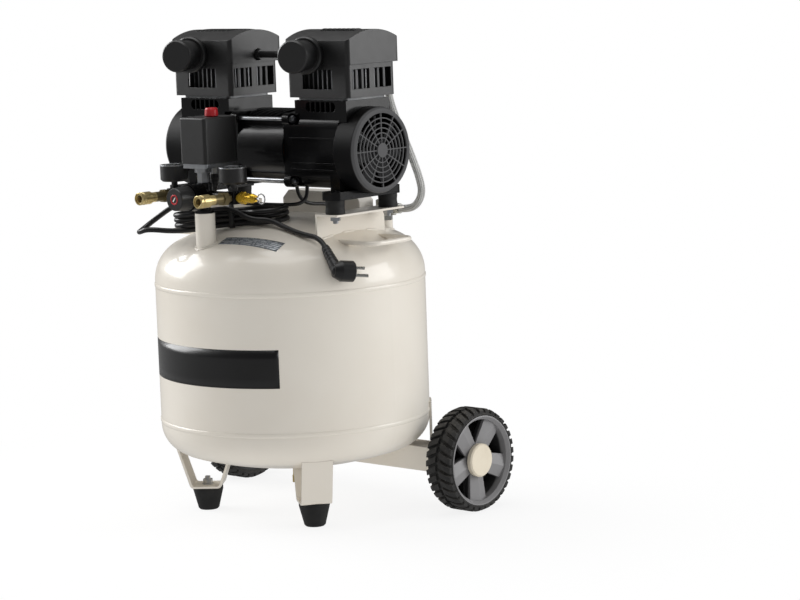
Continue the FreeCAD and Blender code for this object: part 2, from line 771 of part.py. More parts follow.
def wheel_rim():
    """The right rim: barrel, closed web, five ridged spokes that widen outward and a bored hub."""
    lip = RIM_LIP_R
    barrel = [
        (lip - RIM_WALL - 1.5, 4),
        (lip - 1.5, 4),
        (lip - 1.5, TYRE_WIDTH - 3),
        (lip + 1, TYRE_WIDTH - 0.5),
        (lip - 1, TYRE_WIDTH),
        (lip - RIM_WALL - 1.5, TYRE_WIDTH - 5),
    ]
    base = V(WHEEL_INNER_X, 0, 0)
    rim = lathe(barrel, base, X_AXIS)
    hub_length = HUB_END_X - HUB_START_X
    hub = cylinder(HUB_R, hub_length, V(HUB_START_X, 0, 0), X_AXIS)
    face_x = HUB_END_X - SPOKE_HUB_INSET
    pieces = [rim, hub]
    reach = lip - 1.5 - RIM_WALL / 2
    rim_face_x = WHEEL_OUTER_X - SPOKE_INSET
    ends = [(HUB_R - 4, face_x, SPOKE_WIDTH / 2), (reach, rim_face_x, SPOKE_RIM_WIDTH / 2)]
    spoke = Part.makeLoft([spoke_section(z, x, half) for z, x, half in ends], True, True)
    limit = cylinder(lip - RIM_WALL, TYRE_WIDTH, base, X_AXIS)
    spoke = spoke.common(limit)
    web_x = WHEEL_INNER_X + WEB_INSET
    pieces.append(tube(lip - RIM_WALL, HUB_R - 2, WEB_THICK, V(web_x, 0, 0), X_AXIS))
    for k in range(SPOKES):
        arm = spoke.copy()
        arm.rotate(V(0, 0, 0), X_AXIS, 180 + 360.0 / SPOKES * k)
        pieces.append(arm)
    rim = joined(pieces)
    rim = rim.cut(cylinder(AXLE_R + RUNNING_GAP, 2 * hub_length, V(HUB_START_X - 1, 0, 0), X_AXIS))
    rim.translate(V(0, AXLE_Y, WHEEL_R))
    return rim


def hub_cap():
    """The pale cap over the axle nut."""
    end = WHEEL_OUTER_X - HUB_CAP_INSET
    depth = end - HUB_END_X
    inside = HUB_CAP_R - 2.5
    outline = [
        (inside, 0),
        (HUB_CAP_R, 0),
        (HUB_CAP_R, depth - 2),
        (HUB_CAP_R - 2, depth),
        (0, depth),
        (0, depth - 2.5),
        (inside, depth - 2.5),
    ]
    return lathe(outline, V(HUB_END_X, AXLE_Y, WHEEL_R), X_AXIS)


# Saddle brackets and mounts

def saddle_bracket():
    """The right bracket: a plate cut to the dome, with a flange folded outward."""
    half = SADDLE_LENGTH / 2
    plate = block(SADDLE_X - SADDLE_THICK, SADDLE_X, -half, half, UPPER_RIM_Z, SADDLE_TOP_Z)
    flange = block(
        SADDLE_X - SADDLE_THICK, SADDLE_X - SADDLE_THICK + SADDLE_FLANGE,
        -half, half, SADDLE_TOP_Z - SADDLE_THICK, SADDLE_TOP_Z)
    bracket = joined([plate, flange])
    for y in (-MOUNT_Y, MOUNT_Y):
        hole = cylinder(MOUNT_STUD_R + 0.3, SADDLE_THICK * 3, V(MOUNT_X, y, SADDLE_TOP_Z - 2 * SADDLE_THICK))
        bracket = bracket.cut(hole)
    return bracket.cut(TOP_FILLED)


def rubber_mounts():
    """Four waisted rubber buffers between the brackets and the pump."""
    r = MOUNT_R
    h = MOUNT_HEIGHT
    outline = [(0, 0), (r, 0), (r, h * 0.25), (r - MOUNT_WAIST, h * 0.5), (r, h * 0.75), (r, h), (0, h)]
    pieces = []
    for x, y in mount_places():
        pieces.append(lathe(outline, V(x, y, SADDLE_TOP_Z), Z_AXIS))
    return Part.makeCompound(pieces)


def mount_places():
    """Where the four rubber mounts stand."""
    return [(side_x * MOUNT_X, side_y * MOUNT_Y) for side_x in (-1, 1) for side_y in (-1, 1)]


def mount_nuts():
    """The studs and nuts under the bracket flanges."""
    pieces = []
    for x, y in mount_places():
        under = SADDLE_TOP_Z - SADDLE_THICK
        nut = hexagon(13, 6.5, V(x, y, under - 6.5), Z_AXIS)
        stud = cylinder(MOUNT_STUD_R, 6.5 + 4 + SADDLE_THICK, V(x, y, under - 6.5 - 4))
        pieces.append(joined([nut, stud]))
    return Part.makeCompound(pieces)


# Motor

def axis_point(x):
    """A point on the motor's axis."""
    return V(x, 0, AXIS_Z)


def motor_shell():
    """The round motor housing between the crankcases, with slanted cooling ribs on top."""
    length = 2 * STATOR_HALF
    inner = STATOR_R - MOTOR_SHELL_WALL
    shell = tube(STATOR_R, inner, length, axis_point(-STATOR_HALF), X_AXIS)
    outer = STATOR_R + MOTOR_RIB_HEIGHT
    free = length - 2 * MOTOR_SHELL_WALL
    band = tube(outer, inner + 1, free, axis_point(MOTOR_SHELL_WALL - STATOR_HALF), X_AXIS)
    ribs = []
    for k in range(MOTOR_RIBS):
        x = (k - (MOTOR_RIBS - 1) / 2) * MOTOR_RIB_PITCH
        rib = block(
            x - MOTOR_RIB_WIDTH / 2, x + MOTOR_RIB_WIDTH / 2, -2 * MOTOR_RIB_REACH, 2 * MOTOR_RIB_REACH,
            AXIS_Z, AXIS_Z + 2 * STATOR_R)
        rib.rotate(V(x, 0, 0), Z_AXIS, -MOTOR_RIB_ANGLE)
        ribs.append(rib)
    keep = block(-length, length, -MOTOR_RIB_REACH, MOTOR_RIB_REACH, AXIS_Z, AXIS_Z + 2 * STATOR_R)
    raised = band.common(keep).common(Part.makeCompound(ribs))
    return joined([shell] + raised.Solids)


def stator_core():
    """The laminated core in the housing."""
    outer = STATOR_R - MOTOR_SHELL_WALL
    return tube(outer, STATOR_BORE_R, 2 * CORE_HALF, axis_point(-CORE_HALF), X_AXIS)


def stator_windings():
    """The copper end turns at both ends of the core."""
    pieces = []
    for start in (-CORE_HALF - WINDING_LENGTH, CORE_HALF):
        ring = tube(STATOR_R - MOTOR_SHELL_WALL - 2, STATOR_BORE_R + 2, WINDING_LENGTH, axis_point(start), X_AXIS)
        pieces.append(ring.makeFillet(2, [e for e in ring.Edges if len(e.Vertexes) == 1]))
    return Part.makeCompound(pieces)


def tie_rod_places():
    """The four tie-rod axes around the motor."""
    places = []
    for side_y in (-1, 1):
        for side_z in (-1, 1):
            places.append((side_y * TIE_ROD_OFFSET, AXIS_Z + side_z * TIE_ROD_OFFSET))
    return places


def tie_rods():
    """Four bright rods with a hexagonal nut at each end."""
    pieces = []
    end = STATOR_HALF + EAR_LENGTH
    for y, z in tie_rod_places():
        rod = cylinder(TIE_ROD_R, 2 * end + 14, V(-end - 7, y, z), X_AXIS)
        right = hexagon(10, 5, V(end, y, z), X_AXIS)
        left = hexagon(10, 5, V(-end - 5, y, z), X_AXIS)
        pieces.append(joined([rod, right, left]))
    return Part.makeCompound(pieces)


def crankcase():
    """The right crankcase: box body, rod ears, foot, neck with slots and its bores."""
    x0 = STATOR_HALF
    x1 = CASE_OUTER_X
    lap_x = x1 - COVER_LAP
    body = block(x0, lap_x, -CASE_HALF_Y, CASE_HALF_Y, AXIS_Z - CASE_HALF_Z, AXIS_Z + CASE_HALF_Z)
    along = [e for e in body.Edges if abs(e.tangentAt(e.FirstParameter).x) > 0.9]
    body = body.makeFillet(CASE_CORNER_R, along)
    pieces = [body]
    for y, z in tie_rod_places():
        pieces.append(cylinder(EAR_R, EAR_LENGTH, V(x0, y, z), X_AXIS))
    for z in (AXIS_Z - CASE_HALF_Z / 3, AXIS_Z - CASE_HALF_Z / 2, AXIS_Z + CASE_HALF_Z / 3):
        pieces.append(block(x0 + 14, x1 - 12, -CASE_HALF_Y - 2, CASE_HALF_Y + 2, z - 1.2, z + 1.2))
    foot_x0 = MOUNT_X - CASE_FOOT_WIDTH / 2
    foot_x1 = MOUNT_X + CASE_FOOT_WIDTH / 2
    reach = MOUNT_Y + MOUNT_R
    foot = rounded_block(foot_x0, foot_x1, -reach, reach, MOUNT_TOP_Z, MOUNT_TOP_Z + CASE_FOOT_THICK, 10)
    web = block(foot_x0 + 4, lap_x, -MOUNT_Y + 6, MOUNT_Y - 6, MOUNT_TOP_Z, AXIS_Z - CASE_HALF_Z / 2)
    pieces.append(foot)
    pieces.append(web)
    neck = block(
        HEAD_X - NECK_X / 2, HEAD_X + NECK_X / 2, -NECK_Y / 2, NECK_Y / 2,
        DECK_Z - CASE_CORNER_R, NECK_TOP_Z)
    pieces.append(neck)
    case = joined(pieces)
    case = case.cut(cylinder(COVER_R + 0.3, x1, axis_point(lap_x), X_AXIS))
    case = joined([case, cylinder(COVER_R - COVER_WALL, COVER_LAP, axis_point(lap_x), X_AXIS)])
    case = case.cut(cylinder(CRANK_CHAMBER_R, x1, axis_point(x0 + CASE_END_WALL + 8), X_AXIS))
    case = case.cut(cylinder(BEARING_R + 0.02, CASE_END_WALL + 8, axis_point(x0 + CASE_END_WALL - 2), X_AXIS))
    case = case.cut(cylinder(SHAFT_R + 2, STATOR_HALF, axis_point(x0), X_AXIS))
    for y, z in tie_rod_places():
        case = case.cut(cylinder(TIE_ROD_R + ROD_HOLE_GAP, EAR_LENGTH, V(x0, y, z), X_AXIS))
        case = case.cut(cylinder(EAR_R, EAR_LENGTH * 1.5, V(x0 + EAR_LENGTH, y, z), X_AXIS))
    bore = CYLINDER_BORE_R + CYLINDER_WALL + 0.05
    case = case.cut(cylinder(bore, NECK_TOP_Z - AXIS_Z, V(HEAD_X, 0, AXIS_Z)))
    return case.cut(neck_vent())


def neck_vent():
    """The round-ended windows with upright bars through the front and back of the neck."""
    middle = (DECK_Z + NECK_TOP_Z) / 2
    pitch = NECK_VENT_WIDTH / NECK_SLOTS
    half = NECK_VENT_HEIGHT / 2
    straight = NECK_VENT_WIDTH / 2 - half
    window = block(HEAD_X - straight, HEAD_X + straight, -NECK_Y, NECK_Y, middle - half, middle + half)
    for side in (-1, 1):
        end = V(HEAD_X + side * straight, -NECK_Y, middle)
        window = window.fuse(cylinder(half, 2 * NECK_Y, end, Y_AXIS))
    for k in range(1, NECK_SLOTS):
        x = HEAD_X - NECK_VENT_WIDTH / 2 + k * pitch
        window = window.cut(block(x - NECK_BAR / 2, x + NECK_BAR / 2, -NECK_Y, NECK_Y, DECK_Z, NECK_TOP_Z))
    wide = window
    keep = block(
        HEAD_X - NECK_X, HEAD_X + NECK_X, -NECK_Y / 2 + NECK_WALL * 2, NECK_Y / 2 - NECK_WALL * 2,
        DECK_Z - NECK_HEIGHT, NECK_TOP_Z + NECK_HEIGHT)
    return wide.cut(keep)


def bearings():
    """The two shaft bearings in the crankcase end walls."""
    pieces = []
    for side in (-1, 1):
        start = side * (STATOR_HALF + CASE_END_WALL - 2 + 0.1)
        ring = tube(BEARING_R, SHAFT_R + 0.03, BEARING_WIDTH, axis_point(start), V(side, 0, 0))
        groove = Part.makeTorus((BEARING_R + SHAFT_R) / 2, 2.2, axis_point(start + side * BEARING_WIDTH), X_AXIS)
        pieces.append(ring.cut(groove))
    return Part.makeCompound(pieces)


def rotor():
    """The squirrel-cage rotor on the shaft."""
    core = tube(STATOR_BORE_R - AIR_GAP, SHAFT_R, 2 * CORE_HALF, axis_point(-CORE_HALF), X_AXIS)
    return core


def crankshaft():
    """The motor shaft with its two eccentrics, half a turn apart."""
    end = FAN_X + FAN_DEPTH
    shaft = cylinder(SHAFT_R, 2 * end, axis_point(-end), X_AXIS)
    pieces = [shaft]
    for side in (-1, 1):
        centre = V(side * HEAD_X - BIG_END_WIDTH / 2, -side * CRANK_THROW, AXIS_Z)
        pieces.append(cylinder(ECCENTRIC_R, BIG_END_WIDTH, centre, X_AXIS))
        weight_x = side * (HEAD_X + BIG_END_WIDTH) - COUNTERWEIGHT_THICK / 2
        reach = COUNTERWEIGHT_R
        weight = cylinder(reach, COUNTERWEIGHT_THICK, axis_point(weight_x), X_AXIS)
        half = block(weight_x, weight_x + COUNTERWEIGHT_THICK, -reach, reach, AXIS_Z - reach, AXIS_Z + reach)
        half.translate(V(0, side * reach, 0))
        pieces.append(weight.common(half))
    return joined(pieces)


def piston():
    """The right wobble piston: cup, rod and the big end round the eccentric."""
    inner = ECCENTRIC_R + 2 * CRANK_THROW + BIG_END_GAP
    outer = inner + 5
    centre = V(HEAD_X - BIG_END_WIDTH / 2, 0, AXIS_Z)
    big_end = tube(outer, inner, BIG_END_WIDTH, centre, X_AXIS)
    crown_z = NECK_TOP_Z - CRANK_THROW - 2 - PISTON_THICK
    rod = block(
        HEAD_X - ROD_THICK / 2, HEAD_X + ROD_THICK / 2, -ROD_WIDTH / 2, ROD_WIDTH / 2,
        AXIS_Z + inner + 1, crown_z + 2)
    cup = cylinder(CYLINDER_BORE_R - PISTON_GAP, PISTON_THICK, V(HEAD_X, 0, crown_z))
    return joined([big_end, rod, cup])


# Cylinder, valve plate and head

def cylinder_sleeve():
    """The right cylinder sleeve, seated in the neck."""
    start = AXIS_Z + CRANK_CHAMBER_R - 10
    sleeve = tube(
        CYLINDER_BORE_R + CYLINDER_WALL, CYLINDER_BORE_R, NECK_TOP_Z - start, V(HEAD_X, 0, start))
    return sleeve


def valve_plate():
    """The plate between cylinder and head, with its suction and delivery ports."""
    half_x = NECK_X / 2 - VALVE_PLATE_INSET
    half_y = NECK_Y / 2 - VALVE_PLATE_INSET
    plate = rounded_block(
        HEAD_X - half_x, HEAD_X + half_x, -half_y, half_y, NECK_TOP_Z, SHROUD_BASE_Z, SHROUD_CORNER_R)
    for x in (-11, 11):
        for y in (-5, 5):
            plate = plate.cut(cylinder(3, VALVE_PLATE_THICK, V(HEAD_X + x, y, NECK_TOP_Z)))
    return plate


def finned_head():
    """The right aluminium head with upright cooling fins on all four sides."""
    z0 = SHROUD_BASE_Z + SHROUD_WALL
    z1 = z0 + FINNED_HEAD_HEIGHT
    half_x = FINNED_HEAD_X / 2
    half_y = FINNED_HEAD_Y / 2
    core = block(
        HEAD_X - half_x + FIN_DEPTH, HEAD_X + half_x - FIN_DEPTH, -half_y + FIN_DEPTH, half_y - FIN_DEPTH, z0, z1)
    pieces = [core]
    count_x = int((FINNED_HEAD_X - 2 * FIN_DEPTH) / FIN_PITCH)
    count_y = int((FINNED_HEAD_Y - 2 * FIN_DEPTH) / FIN_PITCH)
    fin_top = z0 + WINDOW_HIGH + 4
    for k in range(count_x + 1):
        x = HEAD_X + (k - count_x / 2) * FIN_PITCH
        pieces.append(block(x - FIN_THICK / 2, x + FIN_THICK / 2, -half_y, half_y, z0, fin_top))
    for k in range(count_y + 1):
        y = (k - count_y / 2) * FIN_PITCH
        pieces.append(block(HEAD_X - half_x, HEAD_X + half_x, y - FIN_THICK / 2, y + FIN_THICK / 2, z0, fin_top))
    return joined(pieces)


def head_shroud():
    """The right lower casing: a tapered box with a window to every side."""
    x0 = HEAD_X - SHROUD_X / 2
    x1 = HEAD_X + SHROUD_X / 2
    half = SHROUD_Y / 2
    t = SHROUD_WALL
    z0 = SHROUD_BASE_Z
    z1 = SHROUD_TOP_Z
    shell = rounded_block(x0, x1, -half, half, z0, z1, SHROUD_CORNER_R)
    inside = rounded_block(x0 + t, x1 - t, -half + t, half - t, z0 + t, z1, SHROUD_CORNER_R - t)
    shell = shell.cut(inside)
    bolt_hole = cylinder(CYLINDER_BORE_R - 6, t, V(HEAD_X, 0, z0))
    shell = shell.cut(bolt_hole)
    low = z0 + WINDOW_LOW
    high = z0 + WINDOW_HIGH
    front = FRONT_WINDOW_WIDTH / 2
    shell = shell.cut(block(HEAD_X - front, HEAD_X + front, -SHROUD_Y, SHROUD_Y, low, high))
    for side in (-1, 1):
        near = side * SIDE_WINDOW_GAP / 2
        far = near + side * SIDE_WINDOW_WIDTH
        shell = shell.cut(block(x0 - t, x1 + t, min(near, far), max(near, far), low, high))
    return shell


def cap_profile(x, grow):
    """The arched end outline of a head cap, smaller by a wall where asked."""
    y0 = -CAP_Y / 2 + CAP_SHIFT_Y + grow
    y1 = CAP_Y / 2 + CAP_SHIFT_Y - grow
    z0 = SHROUD_TOP_Z
    z1 = z0 + CAP_SIDE_HEIGHT - grow
    top = z0 + CAP_SIDE_HEIGHT + CAP_ARCH - grow
    edges = [
        Part.LineSegment(V(x, y1, z1), V(x, y1, z0)).toShape(),
        Part.LineSegment(V(x, y1, z0), V(x, y0, z0)).toShape(),
        Part.LineSegment(V(x, y0, z0), V(x, y0, z1)).toShape(),
        arc(V(x, y0, z1), V(x, (y0 + y1) / 2, top), V(x, y1, z1)),
    ]
    return Part.Face(Part.Wire(edges))


def head_cap():
    """The right arched cap with slanted slots and the openings of filter and crossover."""
    x0 = HEAD_X - CAP_X / 2
    outer = cap_profile(x0, 0).extrude(V(CAP_X, 0, 0))
    corners = [e for e in outer.Edges if abs(e.tangentAt(e.FirstParameter).z) > 0.9]
    outer = outer.makeFillet(SHROUD_CORNER_R, corners)
    inner = cap_profile(x0 + CAP_WALL, CAP_WALL).extrude(V(CAP_X - 2 * CAP_WALL, 0, 0))
    proud = cap_profile(x0, -CAP_RIB_HEIGHT).extrude(V(CAP_X, 0, 0))
    ribs = [slanted_bar(k + 0.5, CAP_RIB_WIDTH) for k in range(-1, CAP_SLOTS)]
    raised = proud.cut(inner).common(Part.makeCompound(ribs))
    cap = outer.cut(inner).fuse(raised.Solids).removeSplitter()
    for k in range(CAP_SLOTS):
        cap = cap.cut(slanted_bar(k, CAP_SLOT_WIDTH))
    return cap


def slanted_bar(place, width):
    """An upright bar over the cap for a slot or a rib, at a place in the slanted row."""
    x = (place - (CAP_SLOTS - 1) / 2) * CAP_SLOT_PITCH
    low = SHROUD_TOP_Z + CAP_SIDE_HEIGHT
    bar = block(
        x - width / 2, x + width / 2, -CAP_SLOT_LENGTH / 2, CAP_SLOT_LENGTH / 2, low, low + 2 * CAP_ARCH)
    bar.rotate(V(x, 0, 0), Z_AXIS, CAP_SLOT_ANGLE)
    bar.translate(V(HEAD_X, CAP_SHIFT_Y, 0))
    return bar


def crossover_hole():
    """The round opening for the crossover fitting, through the inner side of a right cap."""
    return cylinder(CROSS_NUT_R + 0.4, CAP_X / 2, V(HEAD_X - CAP_X / 2 - 5, CROSS_Y, CROSS_Z), X_AXIS)


def filter_frame(side):
    """Base point and direction of a filter, which turns a little to the right."""
    turn = math.radians(FILTER_ANGLE)
    base = V(side * HEAD_X + FILTER_SHIFT_X, -CAP_Y / 2 + CAP_SHIFT_Y, FILTER_Z)
    return base, V(math.sin(turn), -math.cos(turn), 0)


def filter_cut(side):
    """The space of a filter neck in the cap."""
    base, out = filter_frame(side)
    return cylinder(FILTER_NECK_R + 0.2, FILTER_REACH, base - out * 12, out)


def filter_housing(side):
    """The filter's ring and body, screwed into the head cap."""
    base, out = filter_frame(side)
    body_end = FILTER_REACH - FILTER_CAP_THICK
    ring = FILTER_RING_START
    ring_end = ring + FILTER_RING_THICK
    wall = FILTER_WALL
    outline = [
        (FILTER_NECK_R - wall, -FILTER_NECK_IN),
        (FILTER_NECK_R, -FILTER_NECK_IN),
        (FILTER_NECK_R, ring),
        (FILTER_RING_R, ring),
        (FILTER_RING_R, ring_end - 2),
        (FILTER_RING_R - 2, ring_end),
        (FILTER_BODY_R, ring_end),
        (FILTER_BODY_R, body_end),
        (FILTER_BODY_R - wall, body_end),
        (FILTER_BODY_R - wall, ring + wall),
        (FILTER_NECK_R - wall, ring + wall),
    ]
    return lathe(outline, base, out)


def filter_cover(side):
    """The round end cap of a filter, with a gap for the air behind its rim."""
    base, out = filter_frame(side)
    start = FILTER_REACH - FILTER_CAP_THICK
    r = FILTER_CAP_R
    outline = [
        (0, start + FILTER_CAP_THICK - 3),
        (r - 2.5, start + FILTER_CAP_THICK - 3),
        (r - 2.5, start),
        (r, start),
        (r, start + FILTER_CAP_THICK - 2),
        (r - 2, start + FILTER_CAP_THICK),
        (0, start + FILTER_CAP_THICK),
    ]
    return lathe(outline, base, out)


def filter_element(side):
    """The foam ring inside a filter."""
    base, out = filter_frame(side)
    outer = FILTER_BODY_R - FILTER_WALL
    start = FILTER_RING_START + FILTER_WALL
    length = FILTER_REACH - 3 - start
    return tube(outer, outer / 2, length, base + out * start, out)


# Fans and covers

def fan():
    """The right cooling fan: a hub and twisted blades."""
    hub = cylinder(FAN_HUB_R, FAN_DEPTH, axis_point(FAN_X), X_AXIS)
    pieces = [hub]
    for k in range(FAN_BLADES):
        blade = block(
            FAN_X + FAN_DEPTH / 2 - FAN_BLADE_THICK / 2, FAN_X + FAN_DEPTH / 2 + FAN_BLADE_THICK / 2,
            -9, 9, AXIS_Z + FAN_HUB_R - 3, AXIS_Z + FAN_R)
        blade.rotate(axis_point(FAN_X + FAN_DEPTH / 2), Z_AXIS, FAN_BLADE_PITCH)
        blade.rotate(axis_point(0), X_AXIS, 360.0 / FAN_BLADES * k)
        pieces.append(blade)
    wheel = joined(pieces)
    limit = cylinder(FAN_R, FAN_DEPTH, axis_point(FAN_X), X_AXIS)
    wheel = wheel.common(limit)
    return wheel.cut(cylinder(SHAFT_R, FAN_DEPTH, axis_point(FAN_X), X_AXIS))


def fan_cover():
    """The right fan cover: a round shell that ends in a ring-and-spoke grille."""
    start = CASE_OUTER_X - COVER_LAP + 0.3
    length = COVER_END_X - start
    r = COVER_R
    outline = [
        (r - COVER_WALL, 0),
        (r, 0),
        (r, length - 6),
        (r - 2.5, length - 1.5),
        (r - 6, length),
        (GRILLE_R, length - 1),
        (GRILLE_R, length - 1 - GRILLE_THICK),
        (r - 6, length - 4),
        (r - COVER_WALL, length - 8),
    ]
    shell = lathe(outline, axis_point(start), X_AXIS)
    grille_x = COVER_END_X - 1 - GRILLE_THICK
    pieces = [shell, cylinder(GRILLE_HUB_R, GRILLE_THICK + 1, axis_point(grille_x), X_AXIS)]
    step = (GRILLE_R - GRILLE_HUB_R) / GRILLE_RINGS
    for k in range(1, GRILLE_RINGS):
        inner = GRILLE_HUB_R + step * k - GRILLE_BAR / 2
        pieces.append(tube(inner + GRILLE_BAR, inner, GRILLE_THICK, axis_point(grille_x), X_AXIS))
    for k in range(GRILLE_SPOKES):
        bar = block(
            grille_x, grille_x + GRILLE_THICK, -GRILLE_BAR / 2, GRILLE_BAR / 2,
            AXIS_Z + GRILLE_HUB_R - 1, AXIS_Z + GRILLE_R + 0.5)
        bar.rotate(axis_point(0), X_AXIS, 360.0 / GRILLE_SPOKES * k)
        pieces.append(bar)
    return joined(pieces)


# Pipes

def crossover_tube():
    """The tube that joins the two heads, with a nut at each end."""
    end = HEAD_X - FINNED_HEAD_X / 2 + FIN_DEPTH
    pipe = cylinder(CROSS_TUBE_R, 2 * end, V(-end, CROSS_Y, CROSS_Z), X_AXIS)
    pieces = [pipe]
    for side in (-1, 1):
        start = side * (HEAD_X - CAP_X / 2 - CROSS_NUT_LENGTH / 2)
        pieces.append(hexagon(CROSS_NUT_R * 1.7, CROSS_NUT_LENGTH, V(start, CROSS_Y, CROSS_Z), V(side, 0, 0)))
    return joined(pieces)


def rounded_path(points, radii=None):
    """A wire of straight runs joined by tangent arcs, as large as the runs allow."""
    edges = []
    used = []
    cursor = points[0]
    for k in range(1, len(points) - 1):
        before = points[k] - points[k - 1]
        after = points[k + 1] - points[k]
        turn = before.getAngle(after)
        short = min(before.Length, after.Length)
        radius = 0.45 * short / math.tan(turn / 2)
        if radii and radii.get(k):
            radius = min(radius, radii[k])
        cut = radius * math.tan(turn / 2)
        start = points[k] - before.normalize() * cut
        end = points[k] + after.normalize() * cut
        inward = ((start + end) * 0.5 - points[k]).normalize()
        middle = points[k] + inward * (radius / math.cos(turn / 2) - radius)
        edges.append(Part.LineSegment(cursor, start).toShape())
        edges.append(arc(start, middle, end))
        used.append(radius)
        cursor = end
    edges.append(Part.LineSegment(cursor, points[-1]).toShape())
    return Part.Wire(edges), used


def pipe_along(points, radius, name):
    """A round tube swept along a rounded path; prints its bend radii and its volume."""
    wire, used = rounded_path(points)
    heading = points[1] - points[0]
    circle = Part.Wire(Part.makeCircle(radius, points[0], heading))
    shell = wire.makePipeShell([circle], True, False)
    expected = math.pi * radius ** 2 * wire.Length
    print(name, "length", round(wire.Length, 1), "radii", [round(r, 1) for r in used],
          "volume over expected", round(shell.Volume / expected, 4))
    return shell


def check_valve_socket():
    """The welded socket of the check valve."""
    base_z = top_skin(VALVE_X, VALVE_Y) - VALVE_SOCKET_R
    top_z = top_skin(VALVE_X, VALVE_Y) + VALVE_SOCKET_HEIGHT
    socket = cylinder(VALVE_SOCKET_R, top_z - base_z, V(VALVE_X, VALVE_Y, base_z)).cut(TOP_FILLED)
    return socket


def check_valve():
    """The brass body of the check valve with its side port."""
    top_z = top_skin(VALVE_X, VALVE_Y) + VALVE_SOCKET_HEIGHT
    body = hexagon(2 * VALVE_BODY_R, VALVE_BODY_HEIGHT, V(VALVE_X, VALVE_Y, top_z), Z_AXIS)
    port_z = hose_low_z()
    port = cylinder(HOSE_FERRULE_R, HOSE_START_X - VALVE_X, V(VALVE_X, VALVE_Y, port_z), X_AXIS)
    nut = hexagon(18, 9, V(VALVE_X + VALVE_BODY_R + 2, VALVE_Y, port_z), X_AXIS)
    return joined([body, port, nut])


def hose_low_z():
    """Height of the check valve's side port."""
    return top_skin(VALVE_X, VALVE_Y) + VALVE_SOCKET_HEIGHT + VALVE_BODY_HEIGHT - VALVE_PORT_DROP


HOSE_START_X = VALVE_X + HOSE_START_OUT
HOSE_END_Y = CAP_Y / 2 + CAP_SHIFT_Y + HOSE_BEHIND_CAP
HOSE_END_Z = CROSS_Z - HOSE_END_DROP


def hose_points():
    """The delivery hose's route from the check valve up to the elbow behind the right head."""
    z = hose_low_z()
    y = VALVE_Y
    bend = HOSE_BEND_RUN
    points = [V(HOSE_START_X, y, z)]
    for heading in (0, 38, 76):
        turn = math.radians(heading)
        points.append(points[-1] + V(bend * math.cos(turn), 0, bend * math.sin(turn)))
    corner = points[-1]
    top = V(HEAD_X, HOSE_END_Y, HOSE_END_Z)
    points.append(corner + V(-HOSE_LEAN, 0, HOSE_CLIMB))
    points.append(V(HEAD_X + HOSE_SIDE, (y + HOSE_END_Y) / 2, top.z - HOSE_UPPER_DROP))
    points.append(top - V(0, 0, HOSE_LAST_RUN))
    points.append(top)
    return points


def delivery_hose():
    """The braided hose."""
    return pipe_along(hose_points(), HOSE_R, "delivery_hose")


def hose_elbow():
    """The elbow that brings the hose into the right head, through the cap's back."""
    start = FINNED_HEAD_Y / 2 - FIN_DEPTH
    pipe = cylinder(CROSS_TUBE_R, HOSE_END_Y - start, V(HEAD_X, start, CROSS_Z), Y_AXIS)
    nut = hexagon(16, 12, V(HEAD_X, CAP_Y / 2 + CAP_SHIFT_Y + 8, CROSS_Z), Y_AXIS)
    elbow = block(
        HEAD_X - 7, HEAD_X + 7, HOSE_END_Y - 8, HOSE_END_Y + 7, CROSS_Z - 8, CROSS_Z + 7)
    ferrule = cylinder(HOSE_FERRULE_R, CROSS_Z - 8 - HOSE_END_Z, V(HEAD_X, HOSE_END_Y, HOSE_END_Z))
    return joined([pipe, nut, elbow, ferrule])


# Capacitor box

def capacitor_box():
    """The pale box behind the motor, with chamfered shoulders, seated on the dome."""
    x0 = CAP_BOX_LEFT_X
    x1 = CAP_BOX_RIGHT_X
    y0 = CAP_BOX_FRONT_Y
    top = SADDLE_TOP_Z + CAP_BOX_TOP_OVER_SADDLE
    c = CAP_BOX_CHAMFER
    low = UPPER_RIM_Z
    outline = [V(x0, y0, low), V(x0, y0, top - c), V(x0 + c, y0, top)]
    outline += [V(x1 - c, y0, top), V(x1, y0, top - c), V(x1, y0, low)]
    shell = face_of(outline).extrude(V(0, CAP_BOX_Y, 0))
    t = CAP_BOX_WALL
    hollow = block(x0 + c, x1 - c, y0 + t, y0 + CAP_BOX_Y - t, capacitor_floor_z(), top - t)
    return shell.cut(hollow).cut(TOP_FILLED)


def capacitor_floor_z():
    """Height of the capacitor box's floor."""
    return top_skin(0, CAP_BOX_FRONT_Y) + CAP_BOX_WALL


def capacitors():
    """The two motor capacitors in the box."""
    pieces = []
    middle_x = (CAP_BOX_LEFT_X + CAP_BOX_RIGHT_X) / 2
    middle_y = CAP_BOX_FRONT_Y + CAP_BOX_Y / 2
    z = capacitor_floor_z() + CAPACITOR_R
    for start in (middle_x - CAPACITOR_LENGTH - 2, middle_x + 2):
        pieces.append(cylinder(CAPACITOR_R, CAPACITOR_LENGTH, V(start, middle_y, z), X_AXIS))
    return Part.makeCompound(pieces)


# Carry handles

def carry_handle():
    """The right grab handle: a bent round bar welded to the tank's shoulder."""
    z = HANDLE_Z
    foot_x = math.sqrt(max(skin_radius(z) ** 2 - HANDLE_HALF_Y ** 2, 1)) - 8
    points = [
        V(foot_x, -HANDLE_HALF_Y, z),
        V(HANDLE_TIP_X, -HANDLE_HALF_Y, z),
        V(HANDLE_TIP_X, HANDLE_HALF_Y, z),
        V(foot_x, HANDLE_HALF_Y, z),
    ]
    wire, used = rounded_path(points, {1: HANDLE_BEND_R, 2: HANDLE_BEND_R})
    circle = Part.Wire(Part.makeCircle(HANDLE_BAR_R, points[0], X_AXIS))
    return wire.makePipeShell([circle], True, False).cut(TOP_FILLED)


def skin_radius(z):
    """Distance from the axis to the top dome's skin at a height."""
    low = 0.0
    high = TANK_R
    for _ in range(40):
        middle = (low + high) / 2
        if top_skin(middle, 0) > z:
            low = middle
        else:
            high = middle
    return low


# Controls

